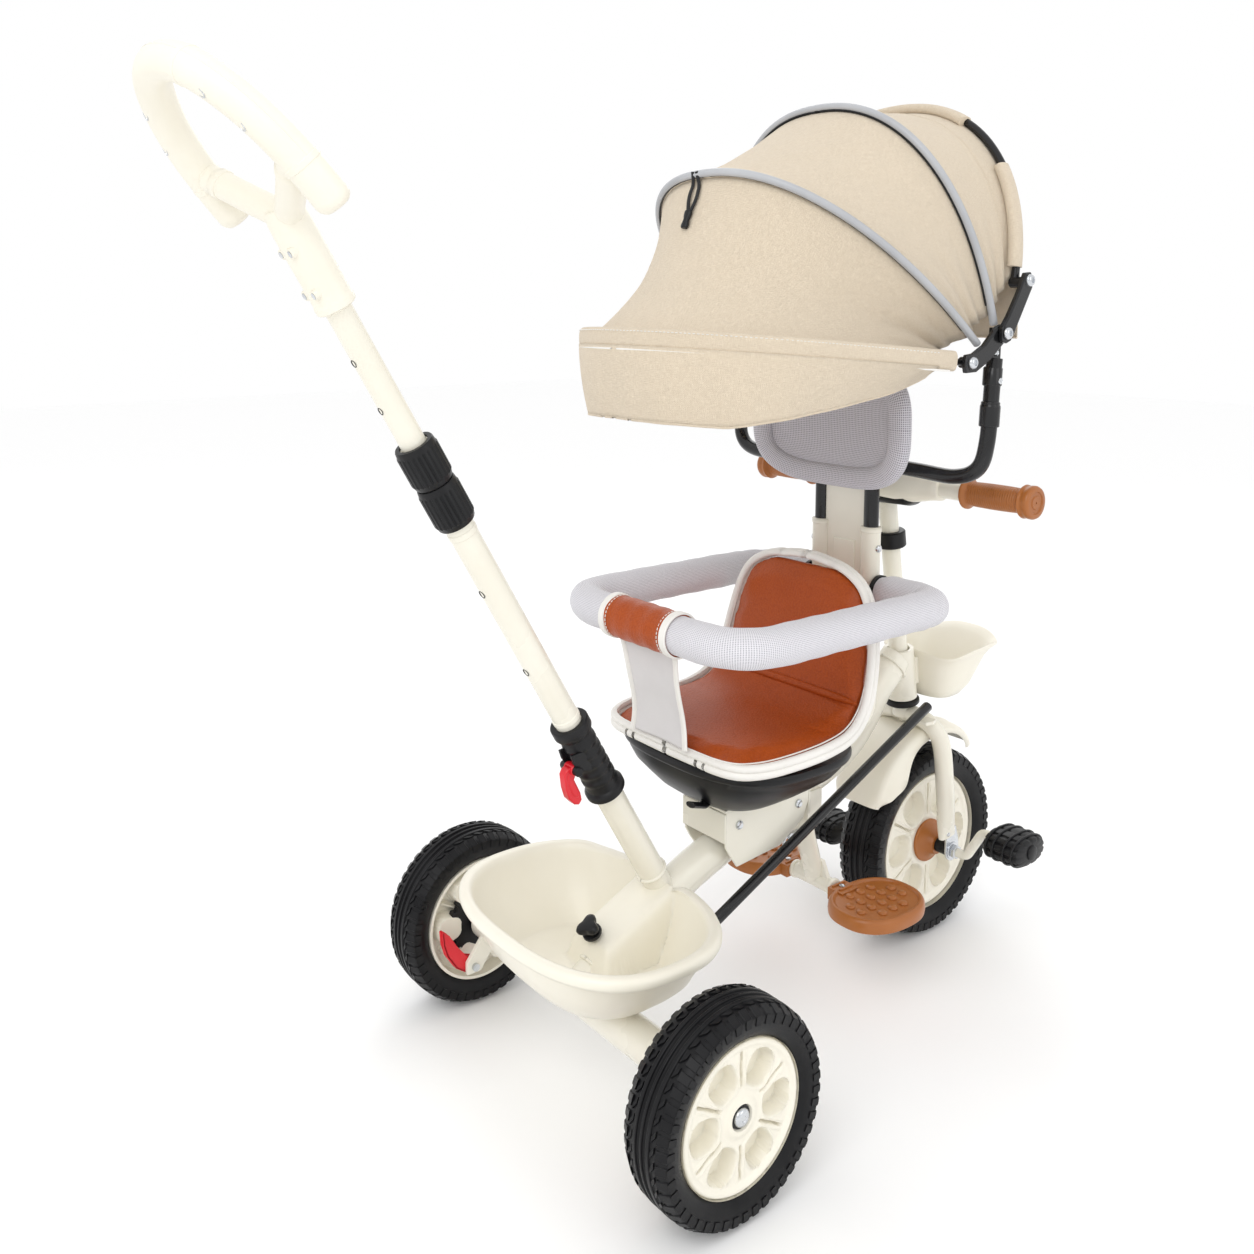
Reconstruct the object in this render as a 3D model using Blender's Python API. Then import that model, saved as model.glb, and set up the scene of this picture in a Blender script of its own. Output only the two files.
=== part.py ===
"""Children's push tricycle with a turning seat, folding canopy and steering push bar.

Metres, +Z up, +Y towards the front wheel. The model stands on three tyres, and its origin is below
the middle of its box. Drawing dimensions are taken from the point on the ground under the rear axle.
"""
import math

import bmesh
import bpy
from mathutils import Vector

# Driving dimensions ---------------------------------------------------------------------------
MIDDLE_Y = 0.12795           # rear axle to the middle of the whole length
GAP = 0.0004                 # clearance between touching pieces

REAR_RADIUS = 0.102
REAR_TRACK_HALF = 0.2125
REAR_RIM_RADIUS = 0.0723
FRONT_RIM_RADIUS = 0.090
FRONT_AXLE = Vector((0, 0.56, 0.1225))
AXLE_ROD = 0.006

AXLE_TUBE_RADIUS = 0.020
AXLE_TUBE_END = 0.184
STEER_AXIS = Vector((0, -0.153, 1)).normalized()
STEER_FOOT = Vector((0, 0.5250, 0.297))
HEAD_TUBE_RADIUS = 0.019
STEM_RADIUS = 0.0115
HANDLEBAR = Vector((0, 0.4785, 0.603))
HANDLEBAR_RADIUS = 0.0105
GRIP_END = 0.2015
GRIP_START = 0.114

BAR_FOOT = Vector((0, 0.098, 0.207))
BAR_AXIS = Vector((0, -0.508, 0.861)).normalized()
LOOP_AXIS = Vector((0, -0.669, 0.743)).normalized()
SOCKET_RADIUS = 0.0155
BAR_LOWER_RADIUS = 0.0142
BAR_UPPER_RADIUS = 0.0125

CRANK_RADIUS = 0.0395
PEDAL_X = 0.140

SEAT_AXIS = Vector((0, 0.215, 0.270))
BACKREST_Y = 0.405
BACKREST_X = 0.037
RAIL_Z = 0.485
RAIL_HALF = 0.136
RAIL_FRONT_Y = 0.088
RAIL_RADIUS = 0.021

CANOPY_PIVOT = Vector((0, 0.419, 0.791))


# Mesh building --------------------------------------------------------------------------------
def frame_of(direction, side=Vector((1, 0, 0))):
    """Two unit vectors square to a direction, the first one as near to `side` as it can be."""
    axis = direction.normalized()
    first = side - axis * side.dot(axis)
    if first.length < 1e-4:
        first = Vector((0, 1, 0)) - axis * axis.y
    first.normalize()
    return first, axis.cross(first)


def oval(centre, direction, half_a, half_b, sides=12, power=2.0, phase=0.0, side=Vector((1, 0, 0))):
    """Ring of points on a superellipse around `centre`, square to `direction`."""
    first, second = frame_of(direction, side)
    ring = []
    for step in range(sides):
        turn = 2 * math.pi * (step + phase) / sides
        cos, sin = math.cos(turn), math.sin(turn)
        a = math.copysign(abs(cos) ** (2 / power), cos) * half_a
        b = math.copysign(abs(sin) ** (2 / power), sin) * half_b
        ring.append(centre + first * a + second * b)
    return ring


def loft(rings, closed=False):
    """Closed solid through rings of equal length; a closed loft joins its last ring to its first."""
    bm = bmesh.new()
    rows = [[bm.verts.new(point) for point in ring] for ring in rings]
    count = len(rows[0])
    pairs = list(zip(rows, rows[1:]))
    if closed:
        pairs.append((rows[-1], rows[0]))
    else:
        bm.faces.new(list(reversed(rows[0])))
        bm.faces.new(rows[-1])
    for low, high in pairs:
        for i in range(count):
            j = (i + 1) % count
            bm.faces.new((low[i], low[j], high[j], high[i]))
    bmesh.ops.recalc_face_normals(bm, faces=bm.faces)
    return bm


def turned(profile, origin, axis, segments=24, closed=False, flat_down=False):
    """Solid of revolution; the profile lists (distance along the axis, radius).

    A closed profile leaves a bore. With flat_down a facet's middle faces straight down."""
    stretch = 1 / math.cos(math.pi / segments) if flat_down else 1.0
    phase = 0.0
    if flat_down:
        phase = 0.5 if segments % 4 == 0 else 0.0
    rings = [oval(origin + axis * along, axis, radius * stretch, radius * stretch, segments, phase=phase,
                  side=Vector((0, 0, 1)))
             for along, radius in profile]
    return loft(rings, closed)


def tangents(points, closed=False):
    count = len(points)
    result = []
    for i in range(count):
        if closed:
            ahead, behind = points[(i + 1) % count], points[i - 1]
        else:
            ahead, behind = points[min(i + 1, count - 1)], points[max(i - 1, 0)]
        result.append((ahead - behind).normalized())
    return result


def tube(points, radius, sides=10, closed=False, half_b=None, side=Vector((1, 0, 0)), power=2.0):
    """Round or oval bar along a path; `radius` may be one number or one for each point."""
    radii = radius if isinstance(radius, (list, tuple)) else [radius] * len(points)
    rings = []
    for point, tangent, r in zip(points, tangents(points, closed), radii):
        rings.append(oval(point, tangent, r, half_b or r, sides, power, side=side))
    return loft(rings, closed)


def pipe(points, outer, inner, sides=10, side=Vector((1, 0, 0))):
    """Hollow bar, open at both ends."""
    ways = tangents(points)
    outside = [oval(p, t, outer, outer, sides, side=side) for p, t in zip(points, ways)]
    inside = [oval(p, t, inner, inner, sides, side=side) for p, t in zip(points, ways)]
    return loft(outside + inside[::-1], closed=True)


def smooth_path(corners, steps=4, closed=False):
    """Points on a smooth curve through the corners (Catmull-Rom)."""
    count = len(corners)
    spans = count if closed else count - 1
    path = []
    for i in range(spans):
        if closed:
            p0, p1, p2, p3 = (corners[(i + k) % count] for k in (-1, 0, 1, 2))
        else:
            p0, p1 = corners[max(i - 1, 0)], corners[i]
            p2, p3 = corners[i + 1], corners[min(i + 2, count - 1)]
        for step in range(steps):
            t = step / steps
            path.append(0.5 * ((2 * p1) + (p2 - p0) * t + (2 * p0 - 5 * p1 + 4 * p2 - p3) * t * t
                               + (3 * p1 - p0 - 3 * p2 + p3) * t ** 3))
    if not closed:
        path.append(corners[-1].copy())
    return path


def rounded_path(corners, radius, steps=4):
    """Straight runs joined by arcs; `radius` may be one number or one for each inner corner."""
    path = [corners[0].copy()]
    radii = radius if isinstance(radius, tuple) else (radius,) * (len(corners) - 2)
    for before, corner, after, radius in zip(corners, corners[1:], corners[2:], radii):
        way_in, way_out = (corner - before).normalized(), (after - corner).normalized()
        half = math.acos(max(-1, min(1, way_in.dot(way_out)))) / 2
        reach = radius * math.tan(half)
        start, end = corner - way_in * reach, corner + way_out * reach
        for step in range(steps + 1):
            t = step / steps
            path.append((1 - t) ** 2 * start + 2 * t * (1 - t) * corner + t * t * end)
    path.append(corners[-1].copy())
    return path


def box(low, high, bevel=0.0):
    bm = bmesh.new()
    bmesh.ops.create_cube(bm, size=1)
    low, high = Vector(low), Vector(high)
    for vert in bm.verts:
        vert.co = Vector(((low[k] + high[k]) / 2 + vert.co[k] * (high[k] - low[k]) for k in range(3)))
    if bevel:
        bmesh.ops.bevel(bm, geom=bm.edges[:], offset=bevel, segments=1, affect='EDGES')
    bmesh.ops.recalc_face_normals(bm, faces=bm.faces)
    return bm


def plate(outline, origin, across, up, thickness):
    """Flat plate from (across, up) points, thickened evenly about its own plane."""
    normal = across.cross(up).normalized()
    rings = []
    for offset in (-thickness / 2, thickness / 2):
        rings.append([origin + across * a + up * b + normal * offset for a, b in outline])
    return loft(rings)


# Objects, bodies and materials ----------------------------------------------------------------
for old in list(bpy.data.objects):
    bpy.data.objects.remove(old, do_unlink=True)


def finish(name, rgb, roughness, metallic=0.0):
    mat = bpy.data.materials.new(name)
    mat.use_nodes = True
    shader = mat.node_tree.nodes["Principled BSDF"]
    shader.inputs["Base Color"].default_value = (*rgb, 1)
    shader.inputs["Roughness"].default_value = roughness
    shader.inputs["Metallic"].default_value = metallic
    return mat


CREAM_PAINT = finish("cream_paint", (0.85, 0.82, 0.70), 0.30)
CREAM_PLASTIC = finish("cream_plastic", (0.86, 0.82, 0.71), 0.42)
BLACK_PLASTIC = finish("black_plastic", (0.012, 0.012, 0.013), 0.40)
BLACK_PAINT = finish("black_paint", (0.010, 0.010, 0.011), 0.28)
TYRE = finish("tyre_foam", (0.016, 0.016, 0.018), 0.55)
STEEL = finish("zinc_steel", (0.62, 0.64, 0.66), 0.28, 1.0)
BROWN_PLASTIC = finish("brown_plastic", (0.37, 0.12, 0.02), 0.42)
RED_PLASTIC = finish("red_plastic", (0.70, 0.008, 0.018), 0.35)
LEATHERETTE = finish("orange_leatherette", (0.36, 0.06, 0.006), 0.48)
GREY_MESH = finish("grey_mesh", (0.58, 0.56, 0.60), 0.85)
CANOPY_CLOTH = finish("canopy_cloth", (0.80, 0.68, 0.51), 0.85)
PIPING = finish("grey_piping", (0.50, 0.51, 0.53), 0.40)


class Body:
    """A group of pieces that move together, on an empty that lies on their joint's axis."""

    def __init__(self, name, pivot, parent=None):
        self.pivot = Vector(pivot)
        self.empty = bpy.data.objects.new(f"{name}_axis", None)
        bpy.context.collection.objects.link(self.empty)
        if parent:
            self.empty.parent = parent.empty
            self.empty.location = self.pivot - parent.pivot
        else:
            self.empty.location = Vector((0, -MIDDLE_Y, 0))

    def add(self, name, bm, mat, sharp=35):
        mesh = bpy.data.meshes.new(name)
        bmesh.ops.translate(bm, verts=bm.verts, vec=-self.pivot)
        bm.to_mesh(mesh)
        bm.free()
        mesh.materials.append(mat)
        mesh.shade_smooth()
        mesh.set_sharp_from_angle(angle=math.radians(sharp))
        obj = bpy.data.objects.new(name, mesh)
        bpy.context.collection.objects.link(obj)
        obj.parent = self.empty
        return obj


def combine(base, steps):
    """Joins or cuts solids one after another; steps list ("UNION" or "DIFFERENCE", solid)."""
    target = scratch_object(base)
    for operation, tool in steps:
        cutter = scratch_object(tool)
        modifier = target.modifiers.new(operation, "BOOLEAN")
        modifier.operation = operation
        modifier.solver = "EXACT"
        modifier.object = cutter
        evaluated = target.evaluated_get(bpy.context.evaluated_depsgraph_get())
        result = bpy.data.meshes.new_from_object(evaluated)
        target.modifiers.clear()
        target.data = result
        bpy.data.objects.remove(cutter, do_unlink=True)
    bm = bmesh.new()
    bm.from_mesh(target.data)
    bmesh.ops.remove_doubles(bm, verts=bm.verts, dist=1e-6)
    bmesh.ops.dissolve_degenerate(bm, edges=bm.edges, dist=1e-6)
    bpy.data.objects.remove(target, do_unlink=True)
    return bm


def scratch_object(bm):
    mesh = bpy.data.meshes.new("scratch")
    bm.to_mesh(mesh)
    bm.free()
    obj = bpy.data.objects.new("scratch", mesh)
    obj.hide_render = True
    obj.display_type = "WIRE"
    bpy.context.collection.objects.link(obj)
    return obj


def rod(start, end, radius, sides=16):
    return tube([Vector(start), Vector(end)], radius, sides)


def on_bar(distance):
    """Point on the push bar's axis, at a distance up from its foot."""
    return BAR_FOOT + BAR_AXIS * distance


def on_stem(height):
    """Point on the steering axis at a height above the ground."""
    return STEER_FOOT + STEER_AXIS * ((height - STEER_FOOT.z) / STEER_AXIS.z)


X, Y, Z = Vector((1, 0, 0)), Vector((0, 1, 0)), Vector((0, 0, 1))
SIDES = (("left", -1), ("right", 1))

frame = Body("tricycle", (0, 0, 0))
steering = Body("steering", STEER_FOOT, frame)
front_wheel = Body("front_wheel", FRONT_AXLE, steering)
seat = Body("seat", SEAT_AXIS, frame)
canopy_second = Body("canopy_second_bow", CANOPY_PIVOT, seat)
canopy_first = Body("canopy_first_bow", CANOPY_PIVOT, canopy_second)
canopy_visor = Body("canopy_visor", CANOPY_PIVOT, canopy_first)
push_bar = Body("push_bar", BAR_FOOT, frame)
push_upper = Body("push_bar_extension", on_bar(0.50), push_bar)


# Frame ----------------------------------------------------------------------------------------
BEAM = [Vector((0, y, z)) for y, z in (
    (-0.004, 0.106), (0.045, 0.136), (0.121, 0.1780), (0.169, 0.199), (0.240, 0.222), (0.315, 0.2455),
    (0.375, 0.2640), (0.413, 0.282), (0.444, 0.310), (0.470, 0.342), (0.5060, 0.372))]
BEAM_HALF_X, BEAM_HALF_Z = 0.019, 0.0215
BAR_BORE = 0.0136
SOCKET_TOP = 0.1265


def beam(extra, first=0, last=None):
    return tube(smooth_path(BEAM[first:last], 2), BEAM_HALF_X + extra, 12, half_b=BEAM_HALF_Z + extra)


BRAKE_EAR = [(-0.0100, 0.0100), (-0.0160, 0.0), (-0.0400, -0.0300), (-0.0400, -0.0440), (-0.0220, -0.0440),
             (0.0, -0.0150)]
head_tube = rod(on_stem(0.3200), on_stem(0.3850), HEAD_TUBE_RADIUS, 20)
main_frame = combine(rod((-AXLE_TUBE_END, 0, REAR_RADIUS), (AXLE_TUBE_END, 0, REAR_RADIUS),
                         AXLE_TUBE_RADIUS, 20), [
    ("UNION", beam(0)),
    ("UNION", head_tube),
    ("UNION", rod(on_bar(-0.03), on_bar(SOCKET_TOP), SOCKET_RADIUS, 16)),
    *[("UNION", box((side * 0.01975 - 0.00225, 0.322, 0.2060), (side * 0.01975 + 0.00225, 0.346, 0.2500)))
      for _, side in SIDES],
    *[("UNION", plate(BRAKE_EAR, Vector((side * 0.163, 0, REAR_RADIUS)), Y, Z, 0.005)) for _, side in SIDES],
    ("DIFFERENCE", rod(on_stem(0.27), on_stem(0.42), 0.0140, 16)),
    ("DIFFERENCE", rod(on_bar(-0.09), on_bar(0.2), BAR_BORE, 16)),
    ("DIFFERENCE", rod((-0.2, 0, REAR_RADIUS), (0.2, 0, REAR_RADIUS), 0.0075, 12)),
])
frame.add("main_frame", main_frame, CREAM_PAINT)

AXLE_END = REAR_TRACK_HALF + 0.0245
half_axle = [(0.0, AXLE_ROD), (REAR_TRACK_HALF + 0.0165, AXLE_ROD), (REAR_TRACK_HALF + 0.0165, 0.0085),
             (AXLE_END - 0.002, 0.0085), (AXLE_END, 0.005)]
axle_profile = [(-along, radius) for along, radius in reversed(half_axle[1:])] + half_axle[1:]
frame.add("rear_axle", turned(axle_profile, Vector((0, 0, REAR_RADIUS)), X, 12), STEEL)

for name, side in SIDES:
    centre = Vector((0, 0, REAR_RADIUS))
    out = X * side
    hinge_x = 0.163 * side
    brake = Body(f"brake_{name}", (hinge_x, -0.030, 0.0655), frame)
    lever_x = hinge_x + side * 0.0065
    lever = [(-0.008, -0.008), (0.012, -0.010), (0.012, 0.004), (-0.008, 0.012), (-0.030, 0.044), (-0.040, 0.050),
             (-0.034, 0.020)]
    brake.add(f"brake_lever_{name}",
              plate(lever, Vector((lever_x, -0.030, 0.0655)), Y, Z, 0.007), RED_PLASTIC)

    wheel = Body(f"rear_wheel_{name}", (side * REAR_TRACK_HALF, 0, REAR_RADIUS), frame)
    hub = Vector((side * REAR_TRACK_HALF, 0, REAR_RADIUS))
    wheel.add(f"rear_tyre_{name}", turned([
        (-0.0250, 0.0745), (-0.0280, 0.083), (-0.0265, 0.0940), (-0.0180, 0.1005), (-0.006, 0.102),
        (0.006, 0.102), (0.0180, 0.1005), (0.0265, 0.0940), (0.0280, 0.083), (0.0250, 0.0745),
        (0.0200, REAR_RIM_RADIUS + GAP), (-0.0200, REAR_RIM_RADIUS + GAP)],
        hub, out, 32, closed=True, flat_down=True), TYRE)
    wheel.add(f"rear_rim_{name}", turned([
        (0.0235, REAR_RIM_RADIUS), (0.0235, 0.0660), (0.0170, 0.0620), (0.0150, 0.018), (0.0160, 0.0155),
        (0.0160, 0.0066), (-0.0100, 0.0066), (-0.0100, 0.0155), (0.0110, 0.018), (0.0125, 0.0600),
        (0.0080, 0.0670), (-0.0240, 0.0690), (-0.0240, REAR_RIM_RADIUS)],
        hub, out, 24, closed=True), CREAM_PLASTIC)
    wheel.add(f"brake_ring_{name}", turned([
        (-0.0235, 0.0070), (-0.0235, 0.030), (-0.0240, 0.034), (-0.0240, 0.045), (-0.0150, 0.045),
        (-0.0150, 0.0175), (-0.0105, 0.0175), (-0.0105, 0.0070)],
        hub, out, 16, closed=True), BLACK_PLASTIC)


def basket_ring(z, half_x, y_back, y_front, power, sides=28):
    middle = Vector((0, (y_back + y_front) / 2, z))
    return oval(middle, Z, half_x, (y_front - y_back) / 2, sides, power, side=X)


rear_shell = loft([
    basket_ring(0.1245, 0.090, -0.058, 0.080, 2.6), basket_ring(0.150, 0.117, -0.080, 0.094, 2.6),
    basket_ring(0.1900, 0.138, -0.096, 0.108, 2.5), basket_ring(0.1900, 0.150, -0.106, 0.118, 2.5),
    basket_ring(0.2000, 0.150, -0.106, 0.118, 2.5), basket_ring(0.2020, 0.145, -0.101, 0.113, 2.5)])
rear_hollow = loft([
    basket_ring(0.1275, 0.087, -0.055, 0.077, 2.6), basket_ring(0.151, 0.114, -0.077, 0.091, 2.6),
    basket_ring(0.2060, 0.138, -0.095, 0.107, 2.5)])
tunnel = tube([Vector((0, 0.004, 0.124)), Vector((0, 0.045, 0.139)), Vector((0, 0.102, 0.1735))],
              0.026, 12, half_b=0.0265)
rear_basket = combine(rear_shell, [
    ("DIFFERENCE", rear_hollow),
    ("UNION", tunnel),
    ("DIFFERENCE", beam(0.0010)),
    ("DIFFERENCE", rod(on_bar(-0.04), on_bar(0.1), SOCKET_RADIUS + 0.0010, 16)),
    ("DIFFERENCE", box((-0.0215, 0.085, 0.16), (0.0215, 0.140, 0.22))),
    ("DIFFERENCE", rod((-0.2, 0, REAR_RADIUS), (0.2, 0, REAR_RADIUS), AXLE_TUBE_RADIUS + GAP, 20)),
    ("DIFFERENCE", box((-0.2, -0.12, 0.05), (0.2, 0.2, 0.1236))),
])
frame.add("rear_basket", rear_basket, CREAM_PLASTIC)
KNOB_FOOT = Vector((0, 0.0200, 0.1660))
frame.add("basket_knob", turned([(0, 0.0045), (0.004, 0.0045), (0.005, 0.010), (0.011, 0.0115), (0.014, 0.008),
                                 (0.016, 0.005), (0.022, 0.004)], KNOB_FOOT, BAR_AXIS, 12), BLACK_PLASTIC)


def cup_ring(z, half_x, y_back, y_front, rise, power=3.2, sides=24):
    ring = basket_ring(z, half_x, y_back, y_front, power, sides)
    depth = y_front - y_back
    for point in ring:
        point.z += rise * ((point.y - y_back) / depth) ** 2
    return ring


front_cup = loft([
    cup_ring(0.318, 0.040, 0.5450, 0.604, 0.004), cup_ring(0.330, 0.047, 0.5390, 0.622, 0.004),
    cup_ring(0.368, 0.055, 0.5345, 0.644, 0.004), cup_ring(0.378, 0.062, 0.5335, 0.664, 0.008),
    cup_ring(0.382, 0.061, 0.5335, 0.663, 0.010)])
front_hollow = loft([
    cup_ring(0.321, 0.037, 0.5480, 0.600, 0.004), cup_ring(0.332, 0.044, 0.5420, 0.619, 0.004),
    cup_ring(0.366, 0.052, 0.5375, 0.641, 0.004), cup_ring(0.388, 0.058, 0.5375, 0.656, 0.012)])
frame.add("front_basket", combine(front_cup, [
    ("DIFFERENCE", front_hollow),
    ("UNION", box((-0.014, 0.5280, 0.340), (0.014, 0.5370, 0.366))),
    ("DIFFERENCE", rod(on_stem(0.30), on_stem(0.42), HEAD_TUBE_RADIUS + 0.0008, 20)),
]), CREAM_PLASTIC)

frame.add("head_bearing", pipe([on_stem(0.3115), on_stem(0.3192)], 0.0212, 0.0135, 20), BLACK_PLASTIC)

saddle = box((-0.034, 0.172, 0.196), (0.034, 0.315, 0.2685), 0.003)
frame.add("seat_bracket", combine(saddle, [
    ("DIFFERENCE", beam(0.0006)),
    ("DIFFERENCE", box((-0.0205, 0.15, 0.15), (0.0205, 0.36, 0.215))),
    ("DIFFERENCE", rod((-0.05, 0.165, 0.182), (0.05, 0.165, 0.182), 0.028, 16)),
]), CREAM_PAINT)


# Foot rest ------------------------------------------------------------------------------------
POST_TOP = Vector((0, 0.334, 0.2130))
BAR_Z, BAR_Y = 0.1220, 0.3620
footrest = Body("footrest_post", POST_TOP, frame)
post_tube = tube([Vector((0, 0.3340, 0.2220)), Vector((0, 0.3400, 0.1900)), Vector((0, BAR_Y, BAR_Z))],
                 [0.0165, 0.0150, 0.0130], 12, half_b=0.010)
cross_bar = rod((-0.030, BAR_Y, BAR_Z), (0.030, BAR_Y, BAR_Z), 0.0095, 14)
footrest.add("footrest_post", combine(post_tube, [
    ("UNION", cross_bar),
    ("DIFFERENCE", rod((0, 0.30, 0.1900), (0, 0.3420, 0.1900), 0.0034, 10)),
]), CREAM_PAINT)
pin_body = Body("footrest_pin", (0, 0.325, 0.1900), footrest)
pin = combine(turned([(-0.0165, 0.0030), (0.0090, 0.0030), (0.0090, 0.0048), (0.0130, 0.0048)],
                     Vector((0, 0.3250, 0.1900)), -Y, 10), [
    ("UNION", loft([oval(Vector((0, 0.3160, 0.1790)) + direction * 0.0105, X.cross(direction), 0.0014, 0.0014, 6)
                    for direction in (Vector((0, math.cos(a), math.sin(a))) for a in
                                      (2 * math.pi * k / 14 for k in range(14)))], closed=True)),
])
pin_body.add("footrest_pin", pin, STEEL)

for name, side in SIDES:
    fold = Body(f"footrest_{name}", (side * 0.0420, BAR_Y, BAR_Z), footrest)
    outline = [(0.0380, -0.030), (0.0480, -0.058), (0.0820, -0.064), (0.1120, -0.052), (0.1290, -0.022),
               (0.1310, 0.006), (0.1240, 0.034), (0.1050, 0.055), (0.0800, 0.060), (0.0480, 0.052), (0.0380, 0.030)]
    if side < 0:
        outline = [(-a, b) for a, b in reversed(outline)]
    fold.add(f"footrest_{name}", plate(outline, Vector((0, BAR_Y + 0.012, BAR_Z - 0.002)), X, Y, 0.017),
             BROWN_PLASTIC)


# Steering -------------------------------------------------------------------------------------
DROPOUT = [(-0.0135, -0.006), (-0.0060, -0.0135), (0.006, -0.0135), (0.0135, -0.006), (0.0120, 0.010),
           (0.0030, 0.042), (-0.0180, 0.042), (-0.0150, 0.010)]
crown = box((-0.030, 0.500, 0.2885), (0.030, 0.552, 0.3072), 0.004)
fork_steps = [("UNION", rod(on_stem(0.300), on_stem(0.5840), STEM_RADIUS, 14))]
for name, side in SIDES:
    leg = smooth_path([Vector((side * x, y, z)) for x, y, z in (
        (0.018, 0.5270, 0.2978), (0.041, 0.5310, 0.2900), (0.0515, 0.5370, 0.2650), (0.0525, 0.5440, 0.2050),
        (0.0505, 0.5520, 0.1560))], 3)
    radii = [0.0105] * (len(leg) - 3) + [0.0098, 0.0085, 0.0070]
    fork_steps.append(("UNION", tube(leg, radii, 10, side=X)))
    fork_steps.append(("UNION", plate(DROPOUT, FRONT_AXLE + X * side * 0.0530, Y, Z, 0.0035)))
    fork_steps.append(("DIFFERENCE", rod(FRONT_AXLE + X * side * 0.045, FRONT_AXLE + X * side * 0.061,
                                         AXLE_ROD + GAP, 12)))
fork_steps.append(("UNION", box((0.026, 0.5080, 0.2965), (0.055, 0.5240, 0.3025))))
steering.add("fork", combine(crown, fork_steps), CREAM_PAINT)

FENDER_CENTRE, FENDER_RADIUS = Vector((0, 0.545, 0.165)), 0.1215
FENDER_FROM, FENDER_TO, FENDER_STEPS = math.radians(38), math.radians(160), 12
fender_rings = []
for step in range(FENDER_STEPS + 1):
    share = step / FENDER_STEPS
    turn = FENDER_FROM + (FENDER_TO - FENDER_FROM) * share
    radial = Vector((0, math.cos(turn), math.sin(turn)))
    wide = 0.0365 - 0.010 * (1 - min(1, share * 4)) ** 2
    skirt = 0.010 + 0.022 * max(0.0, share - 0.35) / 0.65
    top, under = FENDER_RADIUS, FENDER_RADIUS - 0.0025
    section = [(-wide, top - skirt), (-wide, top - 0.008), (-wide * 0.6, top), (wide * 0.6, top),
               (wide, top - 0.008), (wide, top - skirt), (wide - 0.0025, top - skirt),
               (wide - 0.0025, top - 0.009), (wide * 0.57, under), (-wide * 0.57, under),
               (-wide + 0.0025, top - 0.009), (-wide + 0.0025, top - skirt)]
    fender_rings.append([FENDER_CENTRE + X * x + radial * r for x, r in section])
steering.add("front_fender", loft(fender_rings), CREAM_PLASTIC)

steering.add("stem_clamp", pipe([on_stem(0.5200), on_stem(0.5400)], 0.0190, STEM_RADIUS + GAP, 16), BLACK_PLASTIC)
steering.add("handlebar", rod(HANDLEBAR - X * 0.196, HANDLEBAR + X * 0.196, HANDLEBAR_RADIUS, 14), CREAM_PAINT)
cover = loft([oval(HANDLEBAR + X * x, X, half_y, half_z, 14, 2.6, side=Y) for x, half_y, half_z in (
    (-0.082, 0.0135, 0.0135), (-0.060, 0.018, 0.018), (-0.030, 0.027, 0.0225), (0.030, 0.027, 0.0225),
    (0.060, 0.018, 0.018), (0.082, 0.0135, 0.0135))])
steering.add("handlebar_cover", combine(cover, [
    ("DIFFERENCE", rod(HANDLEBAR - X * 0.1, HANDLEBAR + X * 0.1, HANDLEBAR_RADIUS + GAP, 14)),
    ("DIFFERENCE", rod(on_stem(0.56), on_stem(0.5895), STEM_RADIUS + GAP, 14)),
]), CREAM_PLASTIC)
for name, side in SIDES:
    steering.add(f"grip_{name}", turned([
        (GRIP_START, HANDLEBAR_RADIUS + GAP), (GRIP_START, 0.0175), (GRIP_START + 0.004, 0.0180),
        (GRIP_START + 0.006, 0.0135), (GRIP_END - 0.016, 0.0135), (GRIP_END - 0.014, 0.0180),
        (GRIP_END - 0.003, 0.0185), (GRIP_END, 0.0160), (GRIP_END, 0.0040), (0.1966, 0.0040),
        (0.1966, HANDLEBAR_RADIUS + GAP)],
        HANDLEBAR, X * side, 12, closed=True), BROWN_PLASTIC)


# Front wheel and pedals -----------------------------------------------------------------------
front_wheel.add("front_tyre", turned([
    (-0.0270, 0.0920), (-0.0295, 0.1015), (-0.0280, 0.1135), (-0.0190, 0.1205), (-0.006, 0.1225),
    (0.006, 0.1225), (0.0190, 0.1205), (0.0280, 0.1135), (0.0295, 0.1015), (0.0270, 0.0920),
    (0.0210, FRONT_RIM_RADIUS + GAP), (-0.0210, FRONT_RIM_RADIUS + GAP)],
    FRONT_AXLE, X, 36, closed=True, flat_down=True), TYRE)
front_wheel.add("front_rim", turned([
    (-0.0250, FRONT_RIM_RADIUS), (0.0250, FRONT_RIM_RADIUS), (0.0250, 0.0830), (0.0180, 0.0790),
    (0.0170, 0.0064), (-0.0170, 0.0064), (-0.0180, 0.0790), (-0.0250, 0.0830)],
    FRONT_AXLE, X, 24, closed=True), CREAM_PLASTIC)
for name, side in SIDES:
    front_wheel.add(f"hub_cone_{name}", turned([
        (0.0175, 0.0064), (0.0175, 0.0270), (0.0210, 0.0270), (0.0300, 0.0150), (0.0345, 0.0125),
        (0.0345, 0.0064)], FRONT_AXLE, X * side, 16, closed=True), BROWN_PLASTIC)
arm = [Vector((0.160, 0, CRANK_RADIUS)), Vector((0.098, 0, CRANK_RADIUS)), Vector((0.076, 0, 0.0))]
crank_path = rounded_path(arm + [-point for point in reversed(arm)], 0.010, 3)
front_wheel.add("front_crank", tube([FRONT_AXLE + p for p in crank_path], 0.0055, 8, side=Y), CREAM_PAINT)
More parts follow.
